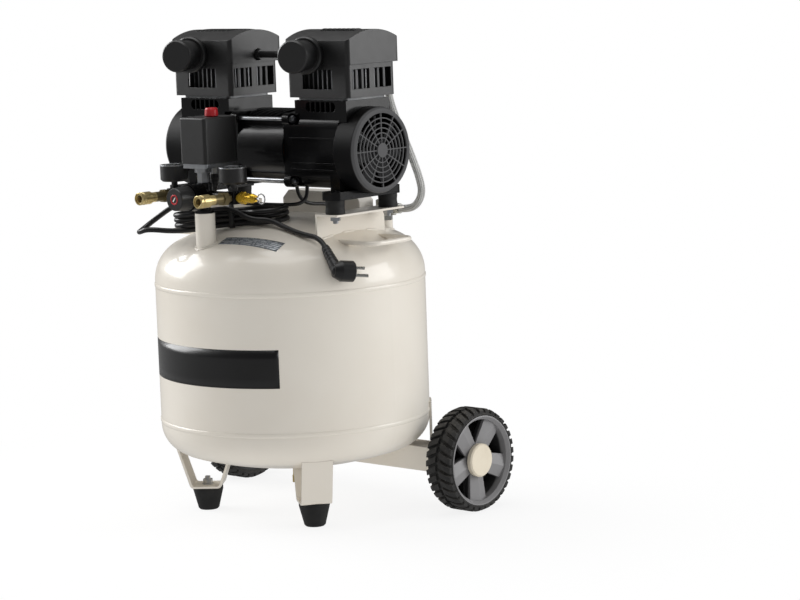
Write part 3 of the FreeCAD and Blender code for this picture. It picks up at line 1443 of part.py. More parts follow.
def port_point(x, y):
    """A point at the height of the manifold's ports."""
    return V(x, y, PORT_Z)


def manifold():
    """The black manifold: upright body, cross arms, end elbows and the regulator's bonnet."""
    upright = cylinder(MANIFOLD_R, MANIFOLD_HEIGHT, V(POST_X, POST_Y, MANIFOLD_Z))
    nipple = cylinder(NIPPLE_R, NIPPLE_HEIGHT, V(POST_X, POST_Y, POST_TOP_Z))
    collar = hexagon(2 * POST_R - 6, 4, V(POST_X, POST_Y, POST_TOP_Z), Z_AXIS)
    arm_end = SAFETY_START
    arms = cylinder(ARM_R, ARM_REACH + arm_end, port_point(POST_X - ARM_REACH, POST_Y), X_AXIS)
    pieces = [upright, nipple, collar, arms]
    half = ELBOW_SIZE / 2
    for side in (-1, 1):
        x = POST_X + side * ARM_REACH
        pieces.append(rounded_block(
            x - half, x + half, POST_Y - half, POST_Y + half, PORT_Z - half, PORT_Z + half, 3))
    bonnet = lathe(
        [(0, 0), (ARM_R + 4, 0), (BONNET_R, 12), (BONNET_R, BONNET_END), (0, BONNET_END)],
        port_point(POST_X, POST_Y), V(0, -1, 0))
    pieces.append(bonnet)
    return joined(pieces)


def regulator_knob():
    """The bell-shaped pressure knob on the bonnet, with grip flutes."""
    length = REG_KNOB_LENGTH
    outline = [
        (0, 0),
        (REG_KNOB_R, 0),
        (REG_KNOB_R, 4),
        (REG_KNOB_R - 1.0, length * 0.6),
        (REG_KNOB_FACE_R + 1.0, length - 1.6),
        (REG_KNOB_FACE_R, length),
        (0, length),
    ]
    start = POST_Y - BONNET_END - KNOB_GAP
    knob = lathe(outline, port_point(POST_X, start), V(0, -1, 0))
    axis = port_point(POST_X, start)
    flutes = []
    for k in range(REG_KNOB_FLUTES):
        turn = 2 * math.pi * k / REG_KNOB_FLUTES
        out = V(math.cos(turn), 0, math.sin(turn)) * (REG_KNOB_R + REG_FLUTE_R * 0.4)
        flutes.append(cylinder(REG_FLUTE_R, length * 0.6, axis + out - V(0, 3, 0), V(0, -1, 0)))
    return knob.cut(Part.makeCompound(flutes))


def coupler_places():
    """The X places of the two outlet couplers."""
    return {"left": POST_X - ARM_REACH, "right": POST_X + ARM_REACH}


def coupler_body(x):
    """The brass body of a quick coupler, with its hexagon and its socket."""
    start = COUPLER_FACE_Y + COUPLER_LENGTH
    front = V(0, -1, 0)
    length = COUPLER_LENGTH - 2
    body = cylinder(COUPLER_R, length, port_point(x, start), front)
    nut = hexagon(COUPLER_SLEEVE_R * 2 - 1, 9, port_point(x, start), front)
    elbow_face = POST_Y - ELBOW_SIZE / 2
    neck = cylinder(COUPLER_R - 1.2, elbow_face - start, port_point(x, start), V(0, 1, 0))
    whole = joined([body, nut, neck])
    mouth = port_point(x, start - length)
    return whole.cut(cylinder(COUPLER_BORE_R, COUPLER_BORE_DEPTH, mouth, V(0, 1, 0)))


def coupler_sleeve(x):
    """The knurled sleeve that slides back to release the plug."""
    length = COUPLER_SLEEVE_LENGTH
    inner = COUPLER_R + 0.06
    outer = COUPLER_SLEEVE_R
    outline = [
        (inner, 0),
        (outer - 1, 0),
        (outer, 1),
        (outer, length - 7),
        (outer - 0.8, length - 6),
        (outer - 0.8, length - 4),
        (outer, length - 3),
        (outer, length - 1),
        (outer - 1, length),
        (inner, length),
    ]
    return lathe(outline, port_point(x, COUPLER_FACE_Y + length), V(0, -1, 0))


def gauge_case(x):
    """The black gauge case with its stem and hexagon."""
    wall = GAUGE_WALL
    r = GAUGE_R
    h = GAUGE_HEIGHT
    outline = [
        (0, 0),
        (r - 3, 0),
        (r, 3),
        (r, h - 3),
        (r, h),
        (r - wall, h),
        (r - wall, h - GAUGE_DIAL_DROP - 1),
        (0, h - GAUGE_DIAL_DROP - 1),
    ]
    case = lathe(outline, V(x, POST_Y, GAUGE_Z), Z_AXIS)
    pin = cylinder(0.7, 4.2, V(x, POST_Y, GAUGE_TOP_Z - GAUGE_DIAL_DROP - 2))
    foot_z = PORT_Z + ELBOW_SIZE / 2
    stem = cylinder(GAUGE_STEM_R, GAUGE_Z - foot_z, V(x, POST_Y, foot_z))
    nut = hexagon(12, 5, V(x, POST_Y, foot_z), Z_AXIS)
    return joined([case, pin, stem, nut])


def gauge_needle(x):
    """The needle on its pin, at zero."""
    z = GAUGE_TOP_Z - GAUGE_DIAL_DROP + 0.2
    hub = cylinder(2.2, 1, V(x, POST_Y, z))
    half = NEEDLE_WIDTH / 2
    arm = face_of([
        V(x - half, POST_Y - NEEDLE_TAIL, z),
        V(x + half, POST_Y - NEEDLE_TAIL, z),
        V(x + 0.3, POST_Y + NEEDLE_LENGTH, z),
        V(x - 0.3, POST_Y + NEEDLE_LENGTH, z),
    ]).extrude(V(0, 0, 0.6))
    needle = joined([hub, arm])
    needle = needle.cut(cylinder(0.75, 1, V(x, POST_Y, z)))
    needle.rotate(V(x, POST_Y, 0), Z_AXIS, 135)
    return needle


def gauge_lens(x):
    """The clear window of a gauge."""
    z = GAUGE_TOP_Z - GAUGE_LENS_THICK - 0.4
    return cylinder(GAUGE_R - GAUGE_WALL - 0.05, GAUGE_LENS_THICK, V(x, POST_Y, z))


def safety_valve():
    """The brass relief valve at the right end of the manifold."""
    start = port_point(POST_X + SAFETY_START, POST_Y)
    r = SAFETY_R
    outline = [
        (0, 0),
        (r - 2, 0),
        (r - 2, 6),
        (r, 6),
        (r, 14),
        (r - 1, 15),
        (r - 1, SAFETY_LENGTH - 6),
        (r - 3, SAFETY_LENGTH),
        (0, SAFETY_LENGTH),
    ]
    body = lathe(outline, start, X_AXIS)
    nut = hexagon(2 * r, 8, start + V(5, 0, 0), X_AXIS)
    whole = joined([body, nut])
    for z in (-1, 1):
        window = block(
            start.x + SAFETY_LENGTH - 14, start.x + SAFETY_LENGTH - 9, start.y - 2, start.y + 2,
            PORT_Z + z * r - 3, PORT_Z + z * r + 3)
        whole = whole.cut(window)
    return whole.cut(cylinder(SAFETY_PIN_R + 0.08, 14, start + V(SAFETY_LENGTH - 14, 0, 0), X_AXIS))


def safety_pull():
    """The pin and ring that open the relief valve by hand."""
    end = port_point(POST_X + SAFETY_START + SAFETY_LENGTH, POST_Y)
    pin = cylinder(SAFETY_PIN_R, 10 + 5, end - V(10, 0, 0), X_AXIS)
    ring = Part.makeTorus(SAFETY_RING_R, SAFETY_RING_BAR, end + V(5 + SAFETY_RING_R - 1.5, 0, 0), Y_AXIS)
    return joined([pin, ring])


# Pressure switch

def switch_corners(grow):
    """The plan rectangle of the pressure switch, smaller by a wall where asked."""
    x0 = POST_X - SWITCH_X / 2 + grow
    x1 = POST_X + SWITCH_X / 2 - grow
    y0 = POST_Y + SWITCH_SHIFT_Y - SWITCH_Y / 2 + grow
    y1 = POST_Y + SWITCH_SHIFT_Y + SWITCH_Y / 2 - grow
    return x0, x1, y0, y1


def switch_base():
    """The zinc base plate of the switch with its port, contact block and two cord glands."""
    x0, x1, y0, y1 = switch_corners(2)
    plate = rounded_block(x0, x1, y0, y1, SWITCH_BASE_Z, SWITCH_COVER_Z, SWITCH_CORNER_R - 2)
    low = MANIFOLD_Z + MANIFOLD_HEIGHT
    port = hexagon(2 * SWITCH_NIPPLE_R, SWITCH_BASE_Z - low, V(POST_X, POST_Y, low), Z_AXIS)
    cup = cylinder(SWITCH_NIPPLE_R + 5, 6, V(POST_X, POST_Y, SWITCH_BASE_Z - 6))
    a0, a1, b0, b1 = switch_corners(9)
    contacts = block(a0, a1, b0, b1 - 6, SWITCH_COVER_Z, SWITCH_COVER_Z + CONTACTS_HEIGHT)
    spring = cylinder(SPRING_R, SPRING_HEIGHT, knob_place(SWITCH_COVER_Z + CONTACTS_HEIGHT))
    glands = [cord_gland(GLAND_X), cord_gland(LEAD_X)]
    return joined([plate, port, cup, contacts, spring] + glands)


def switch_cover():
    """The black cover with rounded edges and a hole for the knob."""
    x0, x1, y0, y1 = switch_corners(0)
    outer = rounded_block(x0, x1, y0, y1, SWITCH_COVER_Z, SWITCH_TOP_Z, SWITCH_CORNER_R)
    top = [e for e in outer.Edges if all(abs(v.Point.z - SWITCH_TOP_Z) < 0.01 for v in e.Vertexes)]
    outer = outer.makeFillet(2.5, top)
    a0, a1, b0, b1 = switch_corners(SWITCH_WALL)
    inner = block(a0, a1, b0, b1, SWITCH_COVER_Z, SWITCH_TOP_Z - SWITCH_WALL)
    cover = outer.cut(inner)
    hole = cylinder(SWITCH_STEM_R + 0.08, SWITCH_WALL * 2, knob_place(SWITCH_TOP_Z - SWITCH_WALL))
    cover = cover.cut(hole)
    return cover


def knob_place(z):
    """The red knob's axis at a height."""
    return V(POST_X + SWITCH_KNOB_SHIFT_X, POST_Y + SWITCH_SHIFT_Y + SWITCH_KNOB_SHIFT_Y, z)


def switch_knob():
    """The red on-off knob with its stem."""
    centre = knob_place(SWITCH_TOP_Z + SWITCH_KNOB_SIT)
    r = SWITCH_KNOB_R
    h = SWITCH_KNOB_HEIGHT
    outline = [(0, 0), (r - 1, 0), (r, 1), (r - 0.6, h - 2), (r - 2, h), (0, h)]
    head = lathe(outline, centre, Z_AXIS)
    stem = cylinder(SWITCH_STEM_R, 14, centre - V(0, 0, 13))
    return joined([head, stem])


def cord_gland(x):
    """A round gland under the back of the switch."""
    outline = [
        (0, 0),
        (GLAND_R, 0),
        (GLAND_R, 3),
        (GLAND_R - 1.5, 4),
        (CORD_R + 1.4, GLAND_LENGTH),
        (0, GLAND_LENGTH),
    ]
    return lathe(outline, gland_place(x), V(0, 0, -1))


def gland_place(x):
    """Where a gland meets the underside of the switch."""
    return V(x, switch_corners(0)[3] - GLAND_INSET, SWITCH_BASE_Z)


# Power cord

def on_hank(along, toward, up):
    """A point in the frame of the tied cord hank: along it, toward the front, and up."""
    turn = math.radians(HANK_TURN)
    tilt = math.radians(HANK_TILT)
    ahead = V(math.cos(turn) * math.cos(tilt), math.sin(turn) * math.cos(tilt), math.sin(tilt))
    front = V(math.sin(turn), -math.cos(turn), 0)
    over = front.cross(ahead)
    over = over if over.z > 0 else over * -1
    middle = V(HANK_X, HANK_Y, top_skin(HANK_X, HANK_Y) + HANK_THICK / 2 + HANK_LIFT)
    return middle + ahead * along + front * toward + over * up


def cord_hank():
    """The outer shape of the tied hank that lies on the dome behind the outlet post."""
    half = HANK_LENGTH / 2
    wide = HANK_WIDTH / 2
    thick = HANK_THICK / 2
    bar = block(-half, half, -wide, wide, -thick, thick)
    along = [e for e in bar.Edges if abs(e.tangentAt(e.FirstParameter).x) > 0.9]
    bar = bar.makeFillet(thick - 1, along)
    bar.rotate(V(0, 0, 0), Y_AXIS, -HANK_TILT)
    bar.rotate(V(0, 0, 0), Z_AXIS, HANK_TURN)
    bar.translate(on_hank(0, 0, 0))
    return bar.cut(TOP_FILLED)


def power_cord_points():
    """The cord's route from the switch, round its free loop, to the left end of the hank."""
    start = gland_place(GLAND_X) - V(0, 0, GLAND_LENGTH)
    half = HANK_LENGTH / 2
    r = CORD_LOOP_R
    k = r * math.tan(math.radians(22.5))
    exit_side = HANK_WIDTH / 2 - CORD_R - 1
    centre = -half - CORD_LOOP_OUT
    return [
        start,
        start - V(0, 0, CORD_DROP),
        start + V(-CORD_BEND_SIDE, 3, -CORD_BEND_DROP),
        start + V(-CORD_FAR_SIDE, 5, -CORD_FAR_DROP),
        on_hank(centre + r + 6, exit_side - 2 * r + 2, CORD_CREST),
        on_hank(centre - k, exit_side - 2 * r, 4),
        on_hank(centre - r, exit_side - r - k, -6),
        on_hank(centre - r, exit_side - r + k, -5),
        on_hank(centre - k, exit_side, 0),
        on_hank(-half, exit_side, 0),
    ]


def power_cord():
    """The cord between the switch and the hank."""
    return pipe_along(power_cord_points(), CORD_R, "power_cord")


def above_skin(x, y, lift):
    """A point over the top dome."""
    return V(x, y, top_skin(x, y) + lift)


def plug_tail_points():
    """The cord's route from beside the hank's right half over the shoulder to the plug."""
    beside = HANK_WIDTH / 2 + CORD_R + 0.4
    lift = CORD_R + 1.8
    y = PLUG_LEAD_Y + CORD_R
    start = plug_start()
    return [
        on_hank(HANK_LENGTH / 6, beside, 0),
        on_hank(HANK_LENGTH / 3, beside, -2),
        above_skin(PLUG_LEAD_X * 0.5, y, lift),
        above_skin(PLUG_LEAD_X * 0.7, y, lift),
        start - (plug_elbow() - start).normalize() * PLUG_STRAIGHT,
        start,
    ]


def plug_start():
    """Where the cord meets the plug's relief."""
    return above_skin(PLUG_LEAD_X, PLUG_LEAD_Y, PLUG_LEAD_LIFT)


def plug_tail():
    """The cord between the hank and the plug."""
    return pipe_along(plug_tail_points(), CORD_R, "plug_tail")


def motor_leads():
    """The two thin leads under the motor: one from the switch, one to the capacitor box."""
    start = gland_place(LEAD_X) - V(0, 0, GLAND_LENGTH)
    under = AXIS_Z - STATOR_R
    entry = V(STATOR_HALF * 0.9, 0, under)
    low = top_skin(entry.x, entry.y) + HANK_THICK / 2 + LEAD_R
    past = on_hank(HANK_LENGTH / 4, 0, HANK_THICK / 2 + 3 * LEAD_R)
    from_switch = [
        start,
        start - V(0, 0, LEAD_DROP),
        start + V(LEAD_DROP * 0.4, LEAD_RISE, -LEAD_BEND_DROP),
        past,
        V(entry.x + 4, -30, low + 6),
        V(entry.x, -6, low + 10),
        entry - V(0, 0, LEAD_RISE),
        entry,
    ]
    second = V(STATOR_HALF * 0.45, 0, under)
    end = V(second.x + 14, CAP_BOX_FRONT_Y, SADDLE_TOP_Z - 2)
    to_box = [
        second,
        second - V(0, 0, LEAD_RISE + 2),
        second + V(3, 14, -30),
        end - V(5, 34, -2),
        end - V(0, 15, 0),
        end,
    ]
    return [pipe_along(from_switch, LEAD_R, "motor_lead"), pipe_along(to_box, LEAD_R, "capacitor_lead")]


def plug_frame():
    """The plug's middle and its directions: ahead to the pins, downhill and outward."""
    around = math.radians(PLUG_AROUND)
    radial = V(math.cos(around), math.sin(around), 0)
    level = V(-math.sin(around), math.cos(around), 0)
    slope = math.radians(PLUG_SLOPE)
    outward = radial * math.cos(slope) + Z_AXIS * math.sin(slope)
    downhill = radial * math.sin(slope) - Z_AXIS * math.cos(slope)
    swing = math.radians(PLUG_SWING)
    ahead = level * math.cos(swing) + downhill * math.sin(swing)
    reach = TOP_KNUCKLE_R + PLUG_R + 1.5
    centre = radial * (TANK_R - TOP_KNUCKLE_R) + V(0, 0, UPPER_RIM_Z) + outward * reach
    return centre, ahead, downhill, outward


def plug_elbow():
    """Where the plug's relief turns into its body."""
    centre, ahead, downhill, outward = plug_frame()
    return centre - ahead * (PLUG_LENGTH / 2 - PLUG_BACK_R * 0.6)


def power_plug():
    """The angled two-pin plug that rests against the tank's shoulder, with its long relief."""
    start = plug_start()
    centre, ahead, downhill, outward = plug_frame()
    back = centre - ahead * (PLUG_LENGTH / 2)
    outline = [
        (0, 0),
        (PLUG_BACK_R, 0),
        (PLUG_R, PLUG_LENGTH * 0.35),
        (PLUG_R, PLUG_LENGTH - 1.5),
        (PLUG_R - 1.5, PLUG_LENGTH),
        (0, PLUG_LENGTH),
    ]
    body = lathe(outline, back, ahead)
    elbow = plug_elbow()
    along = elbow - start
    relief = Part.makeCone(CORD_R + 1.6, PLUG_BACK_R - 0.5, along.Length, start, along)
    corner = Part.makeSphere(PLUG_BACK_R - 0.5, elbow)
    roll = math.radians(PLUG_ROLL)
    apart = (downhill * math.cos(roll) + outward * math.sin(roll)).normalize()
    apart = (apart - ahead * apart.dot(ahead)).normalize()
    pieces = [body, relief, corner]
    for side in (-1, 1):
        foot = centre + ahead * (PLUG_LENGTH / 2 - 4) + apart * (side * PIN_SPACING / 2)
        pieces.append(cylinder(PIN_R, PIN_LENGTH + 4, foot, ahead))
    return joined(pieces).cut(plug_tail())


def write(name, shape):
    """Write one named piece, placed from the machine's middle."""
    piece = shape.copy()
    piece.translate(V(0, -MIDDLE_Y, 0))
    piece.exportStep("parts/" + name + ".step")


def write_both(name, shape):
    """Write a right piece and its mirrored left one."""
    write(name + "_right", shape)
    write(name + "_left", mirrored(shape))


def pair(shape):
    """A right piece and its mirrored left one as one group."""
    return Part.makeCompound([shape, mirrored(shape)])


def main():
    """Build every piece and write it."""
    os.makedirs("parts", exist_ok=True)
    write("tank_shell", tank_shell())
    write("tank_top_dome", tank_top())
    write("tank_bottom_dome", tank_bottom())
    write("tank_sockets", Part.makeCompound([outlet_post(), drain_boss(), check_valve_socket()]))
    write("drain_valve_body", drain_body())
    write("drain_valve_knob", drain_knob())
    write("leg_straps", pair(leg_strap()))
    write("rubber_feet", pair(rubber_foot()))
    write("frame_fasteners", Part.makeCompound([pair(foot_bolt()), mount_nuts(), tie_rods()]))
    write("axle_beam", Part.makeCompound([axle_beam(), pair(beam_tab())]))
    write("wheel_axles", Part.makeCompound([axle(-1), axle(1)]))
    write_both("wheel_tyre", tyre())
    write_both("wheel_rim", wheel_rim())
    write_both("hub_cap", hub_cap())
    write("saddle_brackets", pair(saddle_bracket()))
    write("carry_handles", pair(carry_handle()))
    write("rubber_mounts", rubber_mounts())
    write("motor_shell", motor_shell())
    write("stator_core", stator_core())
    write("stator_windings", stator_windings())
    write("crankcases", pair(crankcase()))
    write("shaft_bearings", bearings())
    write("rotor", rotor())
    write("crankshaft", crankshaft())
    write_both("piston", piston())
    write("cylinder_sleeves", pair(cylinder_sleeve()))
    write("valve_plates", pair(valve_plate()))
    write("finned_heads", pair(finned_head()))
    shroud = head_shroud()
    right_shroud = shroud.cut(filter_cut(1))
    left_shroud = mirrored(shroud).cut(filter_cut(-1))
    write("head_shrouds", Part.makeCompound([left_shroud, right_shroud]))
    cap = head_cap().cut(crossover_hole())
    outlet_hole = cylinder(CROSS_TUBE_R + 0.4, CAP_Y, V(HEAD_X, 0, CROSS_Z), Y_AXIS)
    right_cap = cap.cut(filter_cut(1)).cut(outlet_hole)
    left_cap = mirrored(cap).cut(filter_cut(-1))
    write("head_caps", Part.makeCompound([left_cap, right_cap]))
    write("filter_housings", Part.makeCompound([filter_housing(-1), filter_housing(1)]))
    write("filter_covers", Part.makeCompound([filter_cover(-1), filter_cover(1)]))
    write("filter_elements", Part.makeCompound([filter_element(-1), filter_element(1)]))
    write("cooling_fans", pair(fan()))
    write("fan_covers", pair(fan_cover()))
    write("air_fittings", Part.makeCompound([crossover_tube(), check_valve(), hose_elbow()]))
    write("delivery_hose", delivery_hose())
    write("capacitor_box", capacitor_box())
    write("capacitors", capacitors())
    write("manifold", manifold())
    write("regulator_knob", regulator_knob())
    places = coupler_places()
    for side, x in places.items():
        write("coupler_sleeve_" + side, coupler_sleeve(x))
        write("gauge_needle_" + side, gauge_needle(x))
    write("coupler_bodies", Part.makeCompound([coupler_body(x) for x in places.values()]))
    write("gauge_cases", Part.makeCompound([gauge_case(x) for x in places.values()]))
    write("gauge_lenses", Part.makeCompound([gauge_lens(x) for x in places.values()]))
    write("safety_valve", safety_valve())
    write("safety_valve_ring", safety_pull())
    write("switch_base", switch_base())
    write("switch_cover", switch_cover())
    write("switch_knob", switch_knob())
    write("power_cord", Part.makeCompound([power_cord(), plug_tail()] + motor_leads()))
    write("cord_hank", cord_hank())
    write("power_plug", power_plug())


main()
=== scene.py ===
"""Looks, cords and studio for an oil-free air compressor with two heads on a welded tank."""

from __future__ import annotations

import logging
import math
from collections.abc import Callable, Sequence
from dataclasses import dataclass, field, replace
from enum import Enum
from itertools import product

import bmesh
import bpy
from mathutils import Matrix, Vector
from mathutils.bvhtree import BVHTree

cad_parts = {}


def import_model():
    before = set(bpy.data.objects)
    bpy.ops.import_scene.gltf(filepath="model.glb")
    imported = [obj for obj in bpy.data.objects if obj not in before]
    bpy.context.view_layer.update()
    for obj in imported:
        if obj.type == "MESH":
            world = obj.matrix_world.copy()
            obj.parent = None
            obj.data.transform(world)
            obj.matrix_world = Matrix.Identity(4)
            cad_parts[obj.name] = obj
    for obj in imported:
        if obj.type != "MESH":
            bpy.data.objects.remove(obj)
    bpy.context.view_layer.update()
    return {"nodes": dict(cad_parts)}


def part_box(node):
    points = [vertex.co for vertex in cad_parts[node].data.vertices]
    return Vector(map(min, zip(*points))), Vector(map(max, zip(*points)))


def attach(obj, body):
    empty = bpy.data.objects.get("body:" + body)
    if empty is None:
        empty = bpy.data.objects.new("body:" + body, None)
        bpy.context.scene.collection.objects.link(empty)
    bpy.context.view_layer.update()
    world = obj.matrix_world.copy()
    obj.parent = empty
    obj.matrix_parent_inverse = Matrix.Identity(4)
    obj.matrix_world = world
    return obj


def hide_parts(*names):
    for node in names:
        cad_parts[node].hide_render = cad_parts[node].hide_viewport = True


LOG = logging.getLogger("compressor")
MM = 0.001
FULL_TURN = 2 * math.pi
UP = Vector((0, 0, 1))

Rgb = tuple[int, int, int]
Place = tuple[float, float, float]
Span = tuple[float, float]
Mesh = bmesh.types.BMesh
Piece = bpy.types.Object
Socket = bpy.types.NodeSocket
Outputs = bpy.types.NodeOutputs
Feeds = dict[str, object]


class Body(Enum):
    """The moving bodies that pieces ride on."""

    TANK = "tank"
    REGULATOR = "regulator_knob"


class Side(Enum):
    """Left and right of the machine, seen from its outlets."""

    LEFT = "left"
    RIGHT = "right"


def linear(colour: Rgb) -> tuple[float, float, float, float]:
    """A screen colour as the renderer's own values.

    Args:
        colour: red, green and blue from 0 to 255.

    Returns:
        The linear colour with full alpha.
    """
    out = []
    for part in colour:
        value = part / 255
        out.append(value / 12.92 if value <= 0.04045 else ((value + 0.055) / 1.055) ** 2.4)
    return (*out, 1.0)


def circle(count: int) -> list[tuple[float, float]]:
    """The cosine and the sine of each of a number of equal steps round a circle."""
    turns = [FULL_TURN * step / count for step in range(count)]
    return [(math.cos(turn), math.sin(turn)) for turn in turns]


class Wiring:
    """Adds and joins the nodes of one node tree."""

    def __init__(self, tree: bpy.types.NodeTree) -> None:
        """Keep the tree that is wired."""
        self.tree = tree

    def node(self, kind: str, feeds: dict | None = None, **settings: object) -> bpy.types.Node:
        """Add a node.

        Args:
            kind: the node's type name.
            feeds: values or sockets for its inputs, by name or number.
            settings: the node's own properties.

        Returns:
            The new node.
        """
        node = self.tree.nodes.new(kind)
        for name, value in settings.items():
            setattr(node, name, value)
        for socket, value in (feeds or {}).items():
            self.feed(node.inputs[socket], value)
        return node

    def feed(self, socket: Socket, value: object) -> None:
        """Link a socket into an input, or set the input's value.

        Args:
            socket: the input.
            value: a socket or a plain value.
        """
        if isinstance(value, Socket):
            self.tree.links.new(value, socket)
        else:
            socket.default_value = value

    def math(self, operation: str, *values: object) -> Socket:
        """Work out a number from one to three values."""
        feeds = dict(enumerate(values))
        return self.node("ShaderNodeMath", feeds, operation=operation).outputs[0]

    def times(self, value: object, factor: object) -> Socket:
        """Multiply two values."""
        return self.math("MULTIPLY", value, factor)

    def vector(self, operation: str, *values: object) -> Socket:
        """Work out a number from one or two vectors."""
        feeds = dict(enumerate(values))
        return self.node("ShaderNodeVectorMath", feeds, operation=operation).outputs["Value"]

    def mix(self, factor: object, low: object, high: object) -> Socket:
        """Blend two colours by a factor."""
        feeds = {0: factor, 6: low, 7: high}
        return self.node("ShaderNodeMix", feeds, data_type="RGBA").outputs[2]

    def between(
        self, value: object, low: float, high: float, out_low: float = 0.0, out_high: float = 1.0,
    ) -> Socket:
        """Map a number smoothly from one range to another."""
        feeds = {0: value, 1: low, 2: high, 3: out_low, 4: out_high}
        return self.node("ShaderNodeMapRange", feeds, interpolation_type="SMOOTHSTEP").outputs[0]

    def noise(self, place: object, scale: object, detail: float = 3.0) -> Socket:
        """A noise value at a place."""
        feeds = {"Vector": place, "Scale": scale, "Detail": detail, "Roughness": 0.55}
        return self.node("ShaderNodeTexNoise", feeds).outputs["Fac"]

    def bump(self, height: Socket, depth: object, **more: object) -> Socket:
        """A surface direction that follows a height."""
        feeds = {"Strength": 1.0, "Distance": depth, "Height": height, **more}
        return self.node("ShaderNodeBump", feeds).outputs[0]

    def here(self, kind: str = "Object") -> Socket:
        """The shaded place in the object's own space, or on its map."""
        return self.node("ShaderNodeTexCoord").outputs[kind]

    def ray(self, kind: str) -> Socket:
        """1 for light rays of one kind."""
        return self.node("ShaderNodeLightPath").outputs[kind]


class SurfaceGroup:
    """The shared age of a hard surface: soft tone changes, worn edges, dust and fine grain, with
    the edge tint a painted highlight on the switch cover.

    Attributes:
        NAME: the group's name.
        COLOURS: its colour inputs.
        NUMBERS: its number inputs.
        OUTPUTS: its outputs and their kinds.
        SCUFFS_A_PATCH: scuffs along one tone patch.
        SECOND_TONE: noise values between which the second tone comes in.
        EDGE_FACING: agreement of rounded and flat surface on a whole edge and on a tinted one.
        EDGE_WEAR_AND_HIGHLIGHT_IN_SCUFFS: scuff values between which the edge tint comes in,
            and its least and full share; the tint is wear, and a painted highlight on the switch
            cover.
        DUSTY_SLOPE: upward slopes between which dust comes in.
        DUST_IN_SCUFFS: scuff values between which dust comes in, and its least and full share.
        DUST_ROUGHNESS: how much rougher full dust makes the surface.
    """

    NAME = "aged_surface_and_edge_highlight"
    COLOURS = ("Colour", "Shade", "Edge Colour", "Dust Colour")
    NUMBERS = (
        "Edge Amount", "Dust Amount", "Patch Size", "Grain Size", "Grain Depth", "Edge Radius",
        "Roughness", "Roughness Spread",
    )
    OUTPUTS = {"Colour": "Color", "Roughness": "Float", "Normal": "Vector"}
    SCUFFS_A_PATCH = 6.0
    SECOND_TONE = (0.32, 0.68)
    EDGE_FACING = (0.97, 0.80)
    EDGE_WEAR_AND_HIGHLIGHT_IN_SCUFFS = (0.38, 0.62, 0.25, 1.0)
    DUSTY_SLOPE = (0.35, 0.95)
    DUST_IN_SCUFFS = (0.35, 0.75, 0.2, 1.0)
    DUST_ROUGHNESS = 0.3

    def tree(self) -> bpy.types.NodeTree:
        """The group's node tree, built once."""
        found = bpy.data.node_groups.get(self.NAME)
        return found if found else self.build()

    def build(self) -> bpy.types.NodeTree:
        """Wire the group.

        Returns:
            The new node tree.
        """
        tree = bpy.data.node_groups.new(self.NAME, "ShaderNodeTree")
        inputs = [(name, "Color") for name in self.COLOURS]
        inputs += [(name, "Float") for name in self.NUMBERS]
        for way, sockets in (("INPUT", inputs), ("OUTPUT", self.OUTPUTS.items())):
            for name, kind in sockets:
                tree.interface.new_socket(name=name, in_out=way, socket_type="NodeSocket" + kind)
        wiring = Wiring(tree)
        given = wiring.node("NodeGroupInput").outputs
        place = wiring.here()
        patches = wiring.noise(place, wiring.math("DIVIDE", 1.0, given["Patch Size"]), 4.0)
        fine = wiring.noise(place, wiring.math("DIVIDE", 1.0, given["Grain Size"]), 2.0)
        often = wiring.math("DIVIDE", self.SCUFFS_A_PATCH, given["Patch Size"])
        scuffs = wiring.noise(place, often, 5.0)

        radius = {"Radius": given["Edge Radius"]}
        rounded = wiring.node("ShaderNodeBevel", radius, samples=4).outputs[0]
        flat = wiring.node("ShaderNodeNewGeometry").outputs["Normal"]
        # Edge mask: worn edges on most finishes; on the switch cover it lays a painted edge
        # highlight.
        edge = wiring.between(wiring.vector("DOT_PRODUCT", rounded, flat), *self.EDGE_FACING)
        edge = wiring.times(edge, wiring.between(scuffs, *self.EDGE_WEAR_AND_HIGHLIGHT_IN_SCUFFS))
        edge = wiring.times(edge, given["Edge Amount"])
        level = wiring.node("ShaderNodeSeparateXYZ", {0: flat}).outputs["Z"]
        dust = wiring.between(level, *self.DUSTY_SLOPE)
        dust = wiring.times(dust, wiring.between(scuffs, *self.DUST_IN_SCUFFS))
        dust = wiring.times(dust, given["Dust Amount"])

        tone = wiring.between(patches, *self.SECOND_TONE)
        tone = wiring.mix(tone, given["Colour"], given["Shade"])
        tone = wiring.mix(edge, tone, given["Edge Colour"])
        tone = wiring.mix(dust, tone, given["Dust Colour"])
        swing = wiring.times(wiring.math("SUBTRACT", scuffs, 0.5), given["Roughness Spread"])
        rough = wiring.math("ADD", given["Roughness"], wiring.times(swing, 2.0))
        rough = wiring.math("ADD", rough, wiring.times(dust, self.DUST_ROUGHNESS))
        normal = wiring.bump(fine, given["Grain Depth"], Normal=rounded)
        wiring.node("NodeGroupOutput", {"Colour": tone, "Roughness": rough, "Normal": normal})
        return tree


